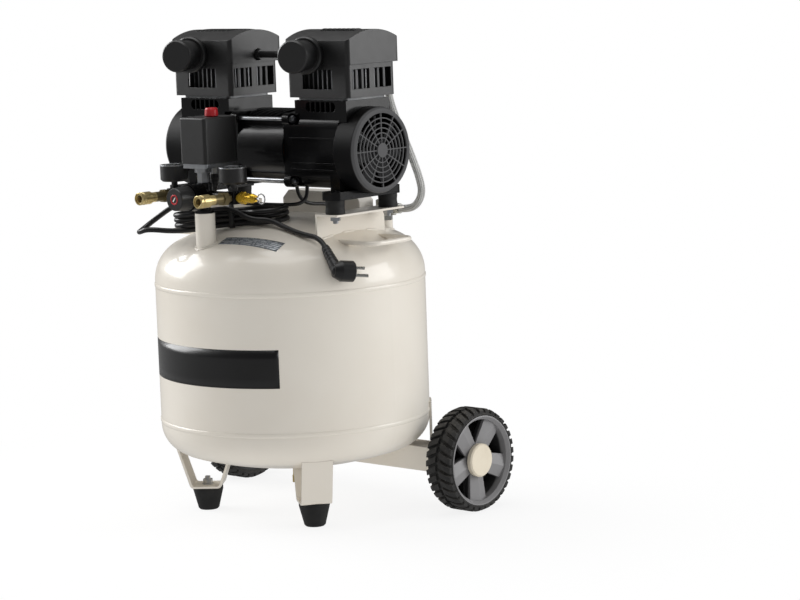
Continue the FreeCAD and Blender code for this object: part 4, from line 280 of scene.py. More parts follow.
@dataclass(frozen=True)
class Finish:
    """A painted, moulded, cast or machined surface.

    Attributes:
        slot: the record's slot that the finish is for.
        colour: the main colour.
        shade: the second tone in the soft patches.
        roughness: how matt it is.
        spread: how far the roughness wanders.
        metallic: 1 for bare metal.
        patch_mm: size of the tone patches.
        grain_mm: size of the grain.
        depth_mm: depth of the grain.
        edge_mm: radius of the softened edges.
        edge: colour of worn edges, and on the switch cover the colour of a painted edge highlight.
        edge_wear_and_highlight: how much of the edges is worn, and on the switch cover how much
            carries the painted highlight.
        dust: how much dust lies on top.
        dust_colour: the dust's colour.
        coat: clear coat weight.
        coat_roughness: how matt the clear coat is.
        specular: the shader's specular level.
    """

    slot: str
    colour: Rgb
    shade: Rgb
    roughness: float
    spread: float = 0.06
    metallic: float = 0.0
    patch_mm: float = 60.0
    grain_mm: float = 0.8
    depth_mm: float = 0.02
    edge_mm: float = 0.5
    edge: Rgb = (120, 118, 115)
    edge_wear_and_highlight: float = 0.0
    dust: float = 0.0
    dust_colour: Rgb = (176, 170, 160)
    coat: float = 0.0
    coat_roughness: float = 0.08
    specular: float = 0.5

    def surface(self, wiring: Wiring) -> Outputs:
        """Place the aged surface with this finish's values.

        Args:
            wiring: the material's wiring.

        Returns:
            The aged surface's outputs.
        """
        values = {
            "Colour": linear(self.colour),
            "Shade": linear(self.shade),
            "Edge Colour": linear(self.edge),
            "Dust Colour": linear(self.dust_colour),
            "Edge Amount": self.edge_wear_and_highlight,
            "Dust Amount": self.dust,
            "Patch Size": self.patch_mm * MM,
            "Grain Size": self.grain_mm * MM,
            "Grain Depth": self.depth_mm * MM,
            "Edge Radius": self.edge_mm * MM,
            "Roughness": self.roughness,
            "Roughness Spread": self.spread,
        }
        return wiring.node("ShaderNodeGroup", values, node_tree=SurfaceGroup().tree()).outputs

    def changes(self, wiring: Wiring, aged: Outputs) -> Feeds:
        """What a special finish feeds in place of the aged surface.

        Args:
            wiring: the material's wiring.
            aged: the aged surface's outputs.

        Returns:
            Values or sockets for the shader's inputs, and None for one that stays free.
        """
        return {}

    def material(self) -> bpy.types.Material:
        """Make the material.

        Returns:
            The finished material.
        """
        material = bpy.data.materials.new("finish_" + self.slot)
        material.use_nodes = True
        wiring = Wiring(material.node_tree)
        shader = material.node_tree.nodes["Principled BSDF"]
        aged = self.surface(wiring)
        feeds = {
            "Metallic": self.metallic,
            "Specular IOR Level": self.specular,
            "Coat Weight": self.coat,
            "Coat Roughness": self.coat_roughness,
            "Base Color": aged["Colour"],
            "Roughness": aged["Roughness"],
            "Normal": aged["Normal"],
        }
        feeds.update(self.changes(wiring, aged))
        for name, value in feeds.items():
            if value is not None:
                wiring.feed(shader.inputs[name], value)
        return material


@dataclass(frozen=True)
class TwoToneFinish(Finish):
    """A piece whose look changes across a plane, such as a dark barrel behind pale spokes.

    Attributes:
        second: the colour beyond the plane.
        second_metallic: how metallic it is there.
        second_roughness: how matt it is there.
        along: the direction across the plane.
        change: where the change begins and ends along it, in metres.
        mirrored: whether the distance counts both ways from the middle.
    """

    second: Rgb = (0, 0, 0)
    second_metallic: float = 0.0
    second_roughness: float = 0.4
    along: Place = (1.0, 0.0, 0.0)
    change: Span = (0.0, 0.001)
    mirrored: bool = False

    def changes(self, wiring: Wiring, aged: Outputs) -> Feeds:
        """Change colour, metal and roughness beyond the plane.

        Args:
            wiring: the material's wiring.
            aged: the aged surface's outputs.

        Returns:
            Values or sockets for the shader's inputs.
        """
        reach = wiring.vector("DOT_PRODUCT", wiring.here(), self.along)
        if self.mirrored:
            reach = wiring.math("ABSOLUTE", reach)
        beyond = wiring.between(reach, *self.change)
        shift = wiring.times(beyond, self.second_roughness - self.roughness)
        return {
            "Base Color": wiring.mix(beyond, aged["Colour"], linear(self.second)),
            "Metallic": wiring.between(beyond, 0.0, 1.0, self.metallic, self.second_metallic),
            "Roughness": wiring.math("ADD", aged["Roughness"], shift),
        }


@dataclass(frozen=True)
class RuledFinish(Finish):
    """A bare metal plate with fine generic ruling.

    Attributes:
        across: the direction from row to row.
        pitch: distance between two rows, in metres.
        thick: share of the pitch that a row takes up.
        patches: noise patches in one pitch, which break the rows.
        gap: noise value under which a row is broken.
        line: the ruling's colour.
        ink: how strong the ruling is.
    """

    across: Place = (-0.1756, 0.9845, 0.0)
    pitch: float = 0.0042
    thick: float = 0.45
    patches: float = 0.9
    gap: float = 0.44
    line: Rgb = (214, 218, 222)
    ink: float = 0.8

    def changes(self, wiring: Wiring, aged: Outputs) -> Feeds:
        """Rule the plate.

        Args:
            wiring: the material's wiring.
            aged: the aged surface's outputs.

        Returns:
            Values or sockets for the shader's inputs.
        """
        place = wiring.here()
        reach = wiring.vector("DOT_PRODUCT", place, self.across)
        row = wiring.math("FRACT", wiring.math("DIVIDE", reach, self.pitch))
        row = wiring.math("LESS_THAN", row, self.thick)
        breaks = wiring.noise(place, self.patches / self.pitch, 1.0)
        whole = wiring.math("GREATER_THAN", breaks, self.gap)
        share = wiring.times(wiring.times(row, whole), self.ink)
        return {"Base Color": wiring.mix(share, aged["Colour"], linear(self.line))}


@dataclass(frozen=True)
class LensFinish(Finish):
    """Clear plastic or glass, with one even colour and a smooth face.

    Attributes:
        bending: its refractive index.
    """

    bending: float = 1.46

    def changes(self, wiring: Wiring, aged: Outputs) -> Feeds:
        """Let light through."""
        glass = {"Transmission Weight": 1.0, "IOR": self.bending, "Normal": None}
        return {"Base Color": linear(self.colour), **glass}


@dataclass(frozen=True)
class BraidFinish(Finish):
    """Woven steel wire round a hose, laid out along the hose's own map.

    Attributes:
        strands: bundles of wire round the hose each way.
        turns: turns that a bundle makes along the hose.
        crossing: sine values between which one bundle dips under the other.
        filled: heights between which the gap's colour gives way to the wire's.
        gap: the colour between the bundles.
        wire_mm: how far the bundles stand up.
    """

    strands: float = 12.0
    turns: float = 22.0
    crossing: Span = (-0.25, 0.25)
    filled: Span = (0.05, 0.75)
    gap: Rgb = (92, 92, 91)
    wire_mm: float = 0.5

    def changes(self, wiring: Wiring, aged: Outputs) -> Feeds:
        """Weave the wires.

        Args:
            wiring: the material's wiring.
            aged: the aged surface's outputs.

        Returns:
            Values or sockets for the shader's inputs.
        """
        place = wiring.node("ShaderNodeSeparateXYZ", {0: wiring.here("UV")}).outputs
        along = wiring.times(place[0], self.turns)
        waves = []
        for way in (1.0, -1.0):
            lane = wiring.math("ADD", place[1], wiring.times(along, way))
            lane = wiring.times(wiring.times(lane, self.strands), math.pi)
            waves.append(wiring.math("ABSOLUTE", wiring.math("SINE", lane)))
        over = wiring.times(wiring.times(along, FULL_TURN), self.strands)
        pick = wiring.between(wiring.math("SINE", over), *self.crossing)
        under = wiring.times(waves[1], wiring.math("SUBTRACT", 1.0, pick))
        height = wiring.math("ADD", wiring.times(waves[0], pick), under)
        share = wiring.between(height, *self.filled)
        return {
            "Base Color": wiring.mix(share, linear(self.gap), aged["Colour"]),
            "Normal": wiring.bump(height, self.wire_mm * MM),
        }


@dataclass(frozen=True)
class WindingFinish(Finish):
    """Enamelled wire laid side by side.

    Attributes:
        wires: scale of the wave that the wires follow.
        bend: how far the wires wander.
        gap: the colour between the wires.
        wire_mm: how far the wires stand up.
        relief: how strongly that shows.
    """

    wires: float = 260.0
    bend: float = 1.2
    gap: Rgb = (92, 44, 18)
    wire_mm: float = 0.4
    relief: float = 0.8

    def changes(self, wiring: Wiring, aged: Outputs) -> Feeds:
        """Lay the wires.

        Args:
            wiring: the material's wiring.
            aged: the aged surface's outputs.

        Returns:
            Values or sockets for the shader's inputs.
        """
        feeds = {"Scale": self.wires, "Distortion": self.bend, "Detail": 1.0}
        feeds["Vector"] = wiring.here()
        wave = wiring.node("ShaderNodeTexWave", feeds, bands_direction="X").outputs["Fac"]
        return {
            "Base Color": wiring.mix(wave, linear(self.gap), aged["Colour"]),
            "Normal": wiring.bump(wave, self.wire_mm * MM, Strength=self.relief),
        }


TANK_PAINT = Finish(
    "tank_paint", (230, 224, 213), (226, 219, 207), 0.36, spread=0.05, patch_mm=180, grain_mm=2.2,
    depth_mm=0.03, edge_mm=0.9, edge=(208, 201, 190), edge_wear_and_highlight=0.25, dust=0.02, coat=0.45,
)
BLACK_PAINT = Finish(
    "black_paint", (7, 7, 8), (9, 9, 10), 0.22, spread=0.04, patch_mm=110, grain_mm=1.2,
    depth_mm=0.012, edge_mm=0.8, edge=(44, 44, 45), edge_wear_and_highlight=0.2, dust=0.006, coat=0.08,
    specular=0.22,
)
BLACK_PLASTIC = Finish(
    "black_plastic", (12, 12, 13), (15, 15, 16), 0.42, spread=0.05, patch_mm=80, grain_mm=0.6,
    edge_mm=0.6, edge=(64, 65, 67), edge_wear_and_highlight=0.25, dust=0.02, specular=0.8,
)
# The switch cover's pale edge colour (150, 150, 152) is a painted highlight along its edges, laid
# through the edge-wear mask.
SWITCH_COVER_PAINTED_EDGE_HIGHLIGHT = replace(
    BLACK_PLASTIC, colour=(14, 14, 15), shade=(17, 17, 18), patch_mm=60, edge_mm=1.0,
    edge=(150, 150, 152), edge_wear_and_highlight=0.7,
)
FAN_COVER = TwoToneFinish(
    **vars(replace(BLACK_PLASTIC, edge_mm=0.5, specular=0.12)),
    second=(84, 84, 85), second_roughness=0.46, change=(0.186, 0.188), mirrored=True,
)
GREY_PLASTIC = Finish(
    "dark_grey_plastic", (70, 71, 72), (78, 78, 79), 0.5, spread=0.08, patch_mm=40, grain_mm=0.7,
    depth_mm=0.03, edge_mm=0.4, edge=(96, 96, 97), edge_wear_and_highlight=0.2, dust=0.1,
)
ALUMINIUM = Finish(
    "aluminium", (128, 129, 130), (112, 113, 115), 0.48, spread=0.10, metallic=1.0, patch_mm=30,
    grain_mm=0.9, depth_mm=0.05, edge=(170, 171, 173), edge_wear_and_highlight=0.5,
)
ZINC = Finish(
    "zinc_steel", (190, 192, 194), (174, 177, 182), 0.30, spread=0.05, metallic=1.0, patch_mm=20,
    depth_mm=0.004, edge_mm=0.3, edge=(222, 222, 222), edge_wear_and_highlight=0.25,
)
BRIGHT_STEEL = Finish(
    "bright_steel", (200, 200, 202), (190, 191, 194), 0.24, spread=0.04, metallic=1.0,
    patch_mm=30, depth_mm=0.002, edge_mm=0.3, edge=(228, 228, 228), edge_wear_and_highlight=0.2,
)
BRASS = Finish(
    "brass", (226, 206, 150), (206, 184, 126), 0.30, spread=0.10, metallic=0.8, patch_mm=12,
    grain_mm=0.4, depth_mm=0.01, edge_mm=0.35, edge=(232, 222, 188), edge_wear_and_highlight=0.5,
)
YELLOW_BRASS = replace(
    BRASS, colour=(226, 186, 60), shade=(206, 164, 48), roughness=0.28, metallic=0.75,
    patch_mm=10, edge_mm=0.3, edge=(236, 214, 120),
)
# The couplers' rear part takes a darker copy of the brass: a painted shade for that part lying in
# shadow.
COUPLER_BRASS_PAINTED_SHADE = TwoToneFinish(
    **vars(BRASS), second=(128, 116, 84), second_metallic=0.8, second_roughness=0.38,
    along=(0, 1, 0), change=(-0.181, -0.179),
)
FITTINGS = TwoToneFinish(
    "brass", (24, 24, 25), (30, 30, 30), 0.36, patch_mm=30, edge_mm=0.4, second=(178, 178, 172),
    second_metallic=1.0, second_roughness=0.28, change=(0.066, 0.068), mirrored=True,
)
RUBBER = Finish(
    "rubber", (30, 30, 30), (38, 38, 37), 0.62, spread=0.10, patch_mm=25, grain_mm=0.5,
    depth_mm=0.03, edge=(62, 62, 61), edge_wear_and_highlight=0.3, dust=0.08, specular=0.35,
)
TYRE = Finish(
    "tyre", (40, 40, 40), (52, 51, 50), 0.68, spread=0.12, patch_mm=22, depth_mm=0.06,
    edge_mm=0.6, edge=(112, 110, 106), edge_wear_and_highlight=0.65, dust=0.15, specular=0.35,
)
RIM_GREY = TwoToneFinish(
    "rim_grey", (44, 44, 45), (50, 50, 51), 0.48, spread=0.08, patch_mm=40, grain_mm=0.7,
    edge_mm=0.6, edge=(110, 110, 110), edge_wear_and_highlight=0.2, dust=0.04,
    second=(134, 133, 134), second_roughness=0.42, change=(0.2395, 0.2435), mirrored=True,
)
CAP_CREAM = Finish(
    "cap_cream", (226, 216, 196), (219, 208, 187), 0.40, patch_mm=30, grain_mm=0.6,
    edge_mm=0.6, edge=(236, 228, 212), edge_wear_and_highlight=0.3, dust=0.04,
)
COPPER = WindingFinish(
    "copper", (186, 104, 52), (168, 88, 42), 0.3, metallic=0.9, edge_mm=0.3,
)
BOX_GREY = Finish(
    "light_grey_box", (212, 208, 201), (204, 200, 193), 0.44, spread=0.08, patch_mm=50,
    grain_mm=0.7, depth_mm=0.03, edge_mm=1.0, edge=(176, 173, 168), edge_wear_and_highlight=0.3, dust=0.1,
)
DIAL_WHITE = Finish(
    "light_grey_box", (232, 231, 226), (226, 224, 218), 0.5, spread=0.04, patch_mm=20,
    edge_mm=0.1,
)
DIAL_INK = Finish("black_plastic", (22, 22, 23), (26, 26, 27), 0.5, patch_mm=10, edge_mm=0.05)
FOAM = Finish(
    "foam", (40, 40, 41), (58, 58, 58), 0.9, spread=0.05, patch_mm=4, grain_mm=1.6,
    depth_mm=0.6, specular=0.2,
)
LENS = LensFinish("clear_lens", (240, 243, 244), (240, 243, 244), 0.06, spread=0.04)
RED = Finish(
    "red_plastic", (186, 26, 34), (170, 20, 30), 0.34, spread=0.08, patch_mm=10, grain_mm=0.4,
    depth_mm=0.01, edge=(216, 78, 74), edge_wear_and_highlight=0.4,
)
CORD_BLACK = Finish(
    "cord_black", (21, 21, 22), (25, 25, 26), 0.36, patch_mm=18, grain_mm=0.9, edge_mm=0.4,
    edge=(52, 52, 52), edge_wear_and_highlight=0.1, dust=0.03,
)
PLUG_BLACK = TwoToneFinish(
    "cord_black", (23, 23, 24), (27, 27, 28), 0.38, patch_mm=18, grain_mm=0.6, edge_mm=0.6,
    edge=(58, 58, 58), edge_wear_and_highlight=0.15, dust=0.03,
    second=(206, 206, 202), second_metallic=1.0, second_roughness=0.24,
    along=(0.45923, 0.88085, -0.11495), change=(-0.0089, -0.0085),
)
BRAID = BraidFinish(
    "braid", (236, 236, 232), (222, 222, 219), 0.36, spread=0.08, metallic=0.2, patch_mm=30,
    edge_mm=0.2,
)
BAND_BLACK = Finish(
    "black_plastic", (14, 14, 15), (18, 18, 19), 0.34, patch_mm=50, grain_mm=1.5,
    depth_mm=0.01, edge_mm=0.2, coat=0.2,
)
PLATE_GREY = RuledFinish(
    "zinc_steel", (126, 131, 136), (114, 119, 125), 0.38, metallic=0.55, patch_mm=30,
    grain_mm=0.6, depth_mm=0.01, edge_mm=0.3, edge=(190, 194, 198), edge_wear_and_highlight=0.4,
)
BY_SLOT = {
    finish.slot: finish
    for finish in (
        TANK_PAINT, BLACK_PAINT, BLACK_PLASTIC, GREY_PLASTIC, ALUMINIUM, ZINC, BRIGHT_STEEL,
        BRASS, RUBBER, TYRE, RIM_GREY, CAP_CREAM, COPPER, BOX_GREY, FOAM, LENS, RED, CORD_BLACK,
        BRAID,
    )
}
BY_NODE = {
    "switch_cover": SWITCH_COVER_PAINTED_EDGE_HIGHLIGHT,
    "fan_covers": FAN_COVER,
    "safety_valve": YELLOW_BRASS,
    "coupler_bodies": COUPLER_BRASS_PAINTED_SHADE,
    "air_fittings": FITTINGS,
    "power_plug": PLUG_BLACK,
}


def as_piece(name: str, mesh: Mesh, smooth: bool = True) -> Piece:
    """Turn a bmesh into an object with outward faces.

    Args:
        name: the piece's name.
        mesh: the bmesh, freed here.
        smooth: whether the faces shade smoothly.

    Returns:
        The new object.
    """
    bmesh.ops.recalc_face_normals(mesh, faces=mesh.faces)
    for face in mesh.faces:
        face.smooth = smooth
    data = bpy.data.meshes.new(name)
    mesh.to_mesh(data)
    mesh.free()
    piece = bpy.data.objects.new(name, data)
    bpy.context.scene.collection.objects.link(piece)
    return piece


def spun(profile: list[Span], centre: Vector, steps: int) -> Mesh:
    """Spin a closed profile round an upright axis.

    Args:
        profile: distances from the axis and heights along it.
        centre: a point on the axis.
        steps: steps round the ring.

    Returns:
        The ring.
    """
    mesh = bmesh.new()
    verts = [mesh.verts.new(centre + Vector((reach, 0, height))) for reach, height in profile]
    edges = [mesh.edges.new(pair) for pair in zip(verts, verts[1:] + verts[:1])]
    bmesh.ops.spin(
        mesh, geom=verts + edges, cent=centre, axis=UP, angle=FULL_TURN, steps=steps,
        use_merge=True,
    )
    bmesh.ops.remove_doubles(mesh, verts=mesh.verts, dist=1e-6)
    return mesh


def thicken(mesh: Mesh, thickness: float) -> None:
    """Give an open sheet a thickness."""
    bmesh.ops.recalc_face_normals(mesh, faces=mesh.faces)
    bmesh.ops.solidify(mesh, geom=mesh.faces, thickness=thickness)


def sheet(
    columns: int, rows: int, thickness: float, lay: Callable[[float, float], Vector],
) -> Mesh:
    """A thin sheet whose corners are laid one by one.

    Args:
        columns: columns of faces.
        rows: rows of faces.
        thickness: the sheet's thickness.
        lay: a corner's place by its share of the columns and of the rows.

    Returns:
        The sheet.
    """
    mesh = bmesh.new()
    bmesh.ops.create_grid(mesh, x_segments=columns, y_segments=rows, size=0.5)
    for vert in mesh.verts:
        vert.co = lay(vert.co.x + 0.5, vert.co.y + 0.5)
    thicken(mesh, thickness)
    return mesh


def sleeve(
    mesh: Mesh, path: list[Vector], radii: list[float], closed: bool = False, sides: int = 8,
) -> None:
    """Add a round sleeve of changing thickness along a path.

    Args:
        mesh: the bmesh it is added to.
        path: places along its middle, close together.
        radii: its radius at each place.
        closed: whether it runs back into its start.
        sides: corners round it.
    """
    count = len(path)
    rings = []
    for k, place in enumerate(path):
        before = path[(k - 1) % count] if closed or k > 0 else place
        after = path[(k + 1) % count] if closed or k < count - 1 else place
        ahead = (after - before).normalized()
        guide = UP if abs(ahead.z) < 0.9 else Vector((0, 1, 0))
        side = ahead.cross(guide).normalized()
        over = side.cross(ahead)
        corners = [side * cos + over * sin for cos, sin in circle(sides)]
        rings.append([mesh.verts.new(place + corner * radii[k]) for corner in corners])
    for k in range(count if closed else count - 1):
        here = rings[k]
        there = rings[(k + 1) % count]
        for corner in range(sides):
            beside = (corner + 1) % sides
            mesh.faces.new((here[corner], here[beside], there[beside], there[corner]))
    if not closed:
        mesh.faces.new(rings[0])
        mesh.faces.new(rings[-1])


def spline(name: str, points: Sequence[Vector | Place], radius: float) -> Piece:
    """A round cord along a smooth curve.

    Args:
        name: the piece's name.
        points: the control points.
        radius: the cord's radius.

    Returns:
        The curve object.
    """
    data = bpy.data.curves.new(name, "CURVE")
    data.dimensions = "3D"
    data.bevel_depth = radius
    data.bevel_resolution = 4
    data.resolution_u = 8
    data.use_fill_caps = True
    line = data.splines.new("NURBS")
    line.points.add(len(points) - 1)
    for point, place in zip(line.points, points):
        point.co = (*place, 1.0)
    line.order_u = 3
    line.use_endpoint_u = True
    piece = bpy.data.objects.new(name, data)
    bpy.context.scene.collection.objects.link(piece)
    return piece


class Palette:
    """Makes each finish's material once and puts it on pieces."""

    def __init__(self) -> None:
        """Start with no materials."""
        self.made: dict[Finish, bpy.types.Material] = {}

    def get(self, finish: Finish) -> bpy.types.Material:
        """The finish's material.

        Args:
            finish: the finish.

        Returns:
            Its material, made the first time.
        """
        if finish not in self.made:
            self.made[finish] = finish.material()
        return self.made[finish]

    def dress(self, piece: Piece, finish: Finish) -> None:
        """Put one finish on a new piece and name its slot.

        Args:
            piece: the new piece.
            finish: the finish it gets.
        """
        piece.data.materials.clear()
        piece.data.materials.append(self.get(finish))
        LOG.info("piece %s: %s", piece.name, finish.slot)

    def dress_nodes(self, nodes: dict[str, Piece]) -> None:
        """Give every carried-over piece of the frame its own finish, or the one of its slot.

        Args:
            nodes: the frame's pieces by name.
        """
        for name, node in nodes.items():
            for place in node.material_slots:
                slot = place.material.name.split(".")[0]
                place.material = self.get(BY_NODE.get(name, BY_SLOT[slot]))

    def add(
        self, name: str, mesh: Mesh, finish: Finish, smooth: bool = True, body: Body = Body.TANK,
    ) -> None:
        """Turn a bmesh into a dressed piece that rides on a body.

        Args:
            name: the piece's name.
            mesh: the bmesh, freed here.
            finish: the finish it gets.
            smooth: whether the faces shade smoothly.
            body: the body that carries it.
        """
        piece = as_piece(name, mesh, smooth)
        self.dress(piece, finish)
        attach(piece, body.value)


class Skin:
    """The surface of a frame piece, searched from above."""

    def __init__(self, node: Piece) -> None:
        """Build the search tree of the piece."""
        self.tree = BVHTree.FromObject(node, bpy.context.evaluated_depsgraph_get())

    def below(self, x: float, y: float) -> Vector:
        """The highest surface point at a plan position."""
        hit = self.tree.ray_cast(Vector((x, y, 1.0)), -UP)[0]
        return hit if hit else Vector((x, y, 0))


@dataclass
class TankDress:
    """Weld beads, the bare rating plate and the bare label band of the tank.

    Attributes:
        palette: the finishes.
        dome: the surface of the top dome.
        seams: heights of the two girth welds.
        bead_half: half the height of a girth weld.
        bead_rise: how far the weld stands proud.
        bead_sunk: how far inside the wall's face the weld's curve has its middle.
        bead_steps: steps over the weld's curve.
        bead_corners: corners round the tank.
        band_turn: the label band's ends round the tank, in degrees.
        band_height: its lower and upper edge.
        band_off: how far its inner face lies off the wall.
        band_thick: its thickness.
        plate: the rating plate's corners, seen from above.
        plate_off: how far its laid face lies over the dome.
        plate_thick: its thickness.
        radius: the tank's radius.
        middle: the foot of its axis.
    """

    palette: Palette
    dome: Skin
    seams: Span = (0.144, 0.344)
    bead_half: float = 0.0034
    bead_rise: float = 0.0013
    bead_sunk: float = 0.0002
    bead_steps: int = 6
    bead_corners: int = 192
    band_turn: Span = (-131.0, -52.0)
    band_height: Span = (0.212, 0.267)
    band_off: float = 0.00025
    band_thick: float = 0.00035
    plate: tuple[Span, ...] = (
        (0.0043, -0.1383), (0.1024, -0.1208), (0.0978, -0.0971), (0.0028, -0.1192),
    )
    plate_off: float = 0.00035
    plate_thick: float = 0.0006
    radius: float = field(init=False)
    middle: Vector = field(init=False)

    def build(self) -> None:
        """Make every piece of the tank's dress."""
        low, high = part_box("tank_shell")
        self.radius = (high.x - low.x) / 2
        self.middle = Vector(((low.x + high.x) / 2, (low.y + high.y) / 2, 0))
        self.welds()
        band = sheet(34, 4, self.band_thick, self.on_wall)
        self.palette.add("label_band", band, BAND_BLACK)
        plate = sheet(24, 6, self.plate_thick, self.on_dome)
        self.palette.add("rating_plate", plate, PLATE_GREY)

    def welds(self) -> None:
        """The two girth welds."""
        profile = [(self.radius - self.bead_rise, -self.bead_half)]
        for step in range(self.bead_steps + 1):
            turn = -math.pi / 2 + math.pi * step / self.bead_steps
            reach = self.radius - self.bead_sunk + self.bead_rise * math.cos(turn)
            profile.append((reach, self.bead_half * math.sin(turn)))
        profile.append((self.radius - self.bead_rise, self.bead_half))
        for name, height in zip(("lower", "upper"), self.seams):
            mesh = spun(profile, self.middle + UP * height, self.bead_corners)
            self.palette.add("girth_weld_" + name, mesh, TANK_PAINT)

    def on_wall(self, across: float, upward: float) -> Vector:
        """A point of the label band, just off the tank's wall.

        Args:
            across: its share of the band's length.
            upward: its share of the band's height.

        Returns:
            The point.
        """
        first, last = self.band_turn
        low, high = self.band_height
        turn = math.radians(first + across * (last - first))
        outward = Vector((math.cos(turn), math.sin(turn), 0))
        height = low + upward * (high - low)
        return self.middle + outward * (self.radius + self.band_off) + UP * height

    def on_dome(self, across: float, upward: float) -> Vector:
        """A point of the rating plate, just over the top dome.

        Args:
            across: its share of the plate's length.
            upward: its share of the plate's height.

        Returns:
            The point.
        """
        corners = [Vector(corner) for corner in self.plate]
        near = corners[0].lerp(corners[1], across)
        far = corners[3].lerp(corners[2], across)
        return self.dome.below(*near.lerp(far, upward)) + UP * self.plate_off


SWITCH_TO_HANK = (
    (-0.032, -0.104, 0.50766),
    (-0.032, -0.104, 0.48566),
    (-0.048, -0.101, 0.46766),
    (-0.074, -0.099, 0.46066),
    (-0.10093, -0.11311, 0.46429),
    (-0.13304, -0.13884, 0.43573),
    (-0.13388, -0.15992, 0.42482),
    (-0.11965, -0.17609, 0.42582),
    (-0.0984, -0.17763, 0.43174),
)
HANK_TO_PLUG = (
    (0.01877, -0.08597, 0.44082),
    (0.0398, -0.06737, 0.44053),
    (0.0765, -0.0696, 0.42946),
    (0.1071, -0.0696, 0.42204),
    (0.14012, -0.06856, 0.41854),
    (0.153, -0.0734, 0.40693),
)
LEADS = {
    "motor_lead": (
        (-0.006, -0.104, 0.50766),
        (-0.006, -0.104, 0.48766),
        (0.002, -0.092, 0.46566),
        (0.00806, -0.05447, 0.46004),
        (0.0454, -0.018, 0.45655),
        (0.0414, 0.006, 0.46055),
        (0.0414, 0.012, 0.47203),
        (0.0414, 0.012, 0.48403),
    ),
    "capacitor_lead": (
        (0.0207, 0.012, 0.48403),
        (0.0207, 0.012, 0.47003),
        (0.0237, 0.026, 0.45403),
        (0.0297, 0.058, 0.45063),
        (0.0347, 0.077, 0.44863),
        (0.0347, 0.092, 0.44863),
    ),
}
LEAD_RADIUS = 0.0028
HOSE_ROUTE = (
    (0.122, 0.124, 0.44106),
    (0.144, 0.124, 0.44106),
    (0.16134, 0.124, 0.45461),
    (0.16666, 0.124, 0.47596),
    (0.14266, 0.124, 0.52996),
    (0.126, 0.1165, 0.57343),
    (0.117, 0.109, 0.61543),
    (0.117, 0.109, 0.65543),
)
HOSE_RADIUS = 0.0056


@dataclass(frozen=True)
class Ribs:
    """The thickness of a tapered sleeve with grooves round it.

    Attributes:
        start_mm: its radius at its start.
        end_mm: its radius at its end.
        groove_mm: depth of the grooves.
        pitch: steps from groove to groove.
        ridge: sine value up to which a ridge lies between two grooves.
        grooved: share of the sleeve that has grooves.
        steps: steps along it.
        sides: corners round it.
    """

    start_mm: float
    end_mm: float
    groove_mm: float
    pitch: int
    ridge: float
    grooved: float
    steps: int
    sides: int

    def shares(self) -> list[float]:
        """How far along the sleeve each step lies."""
        return [step / self.steps for step in range(self.steps + 1)]

    def radii(self) -> list[float]:
        """The sleeve's radius at each step.

        Returns:
            The radii in metres.
        """
        out = []
        for step, share in enumerate(self.shares()):
            outer = self.start_mm + (self.end_mm - self.start_mm) * share
            wave = math.sin(FULL_TURN * step / self.pitch)
            cut = wave > self.ridge and share <= self.grooved
            out.append((outer - self.groove_mm * cut) * MM)
        return out


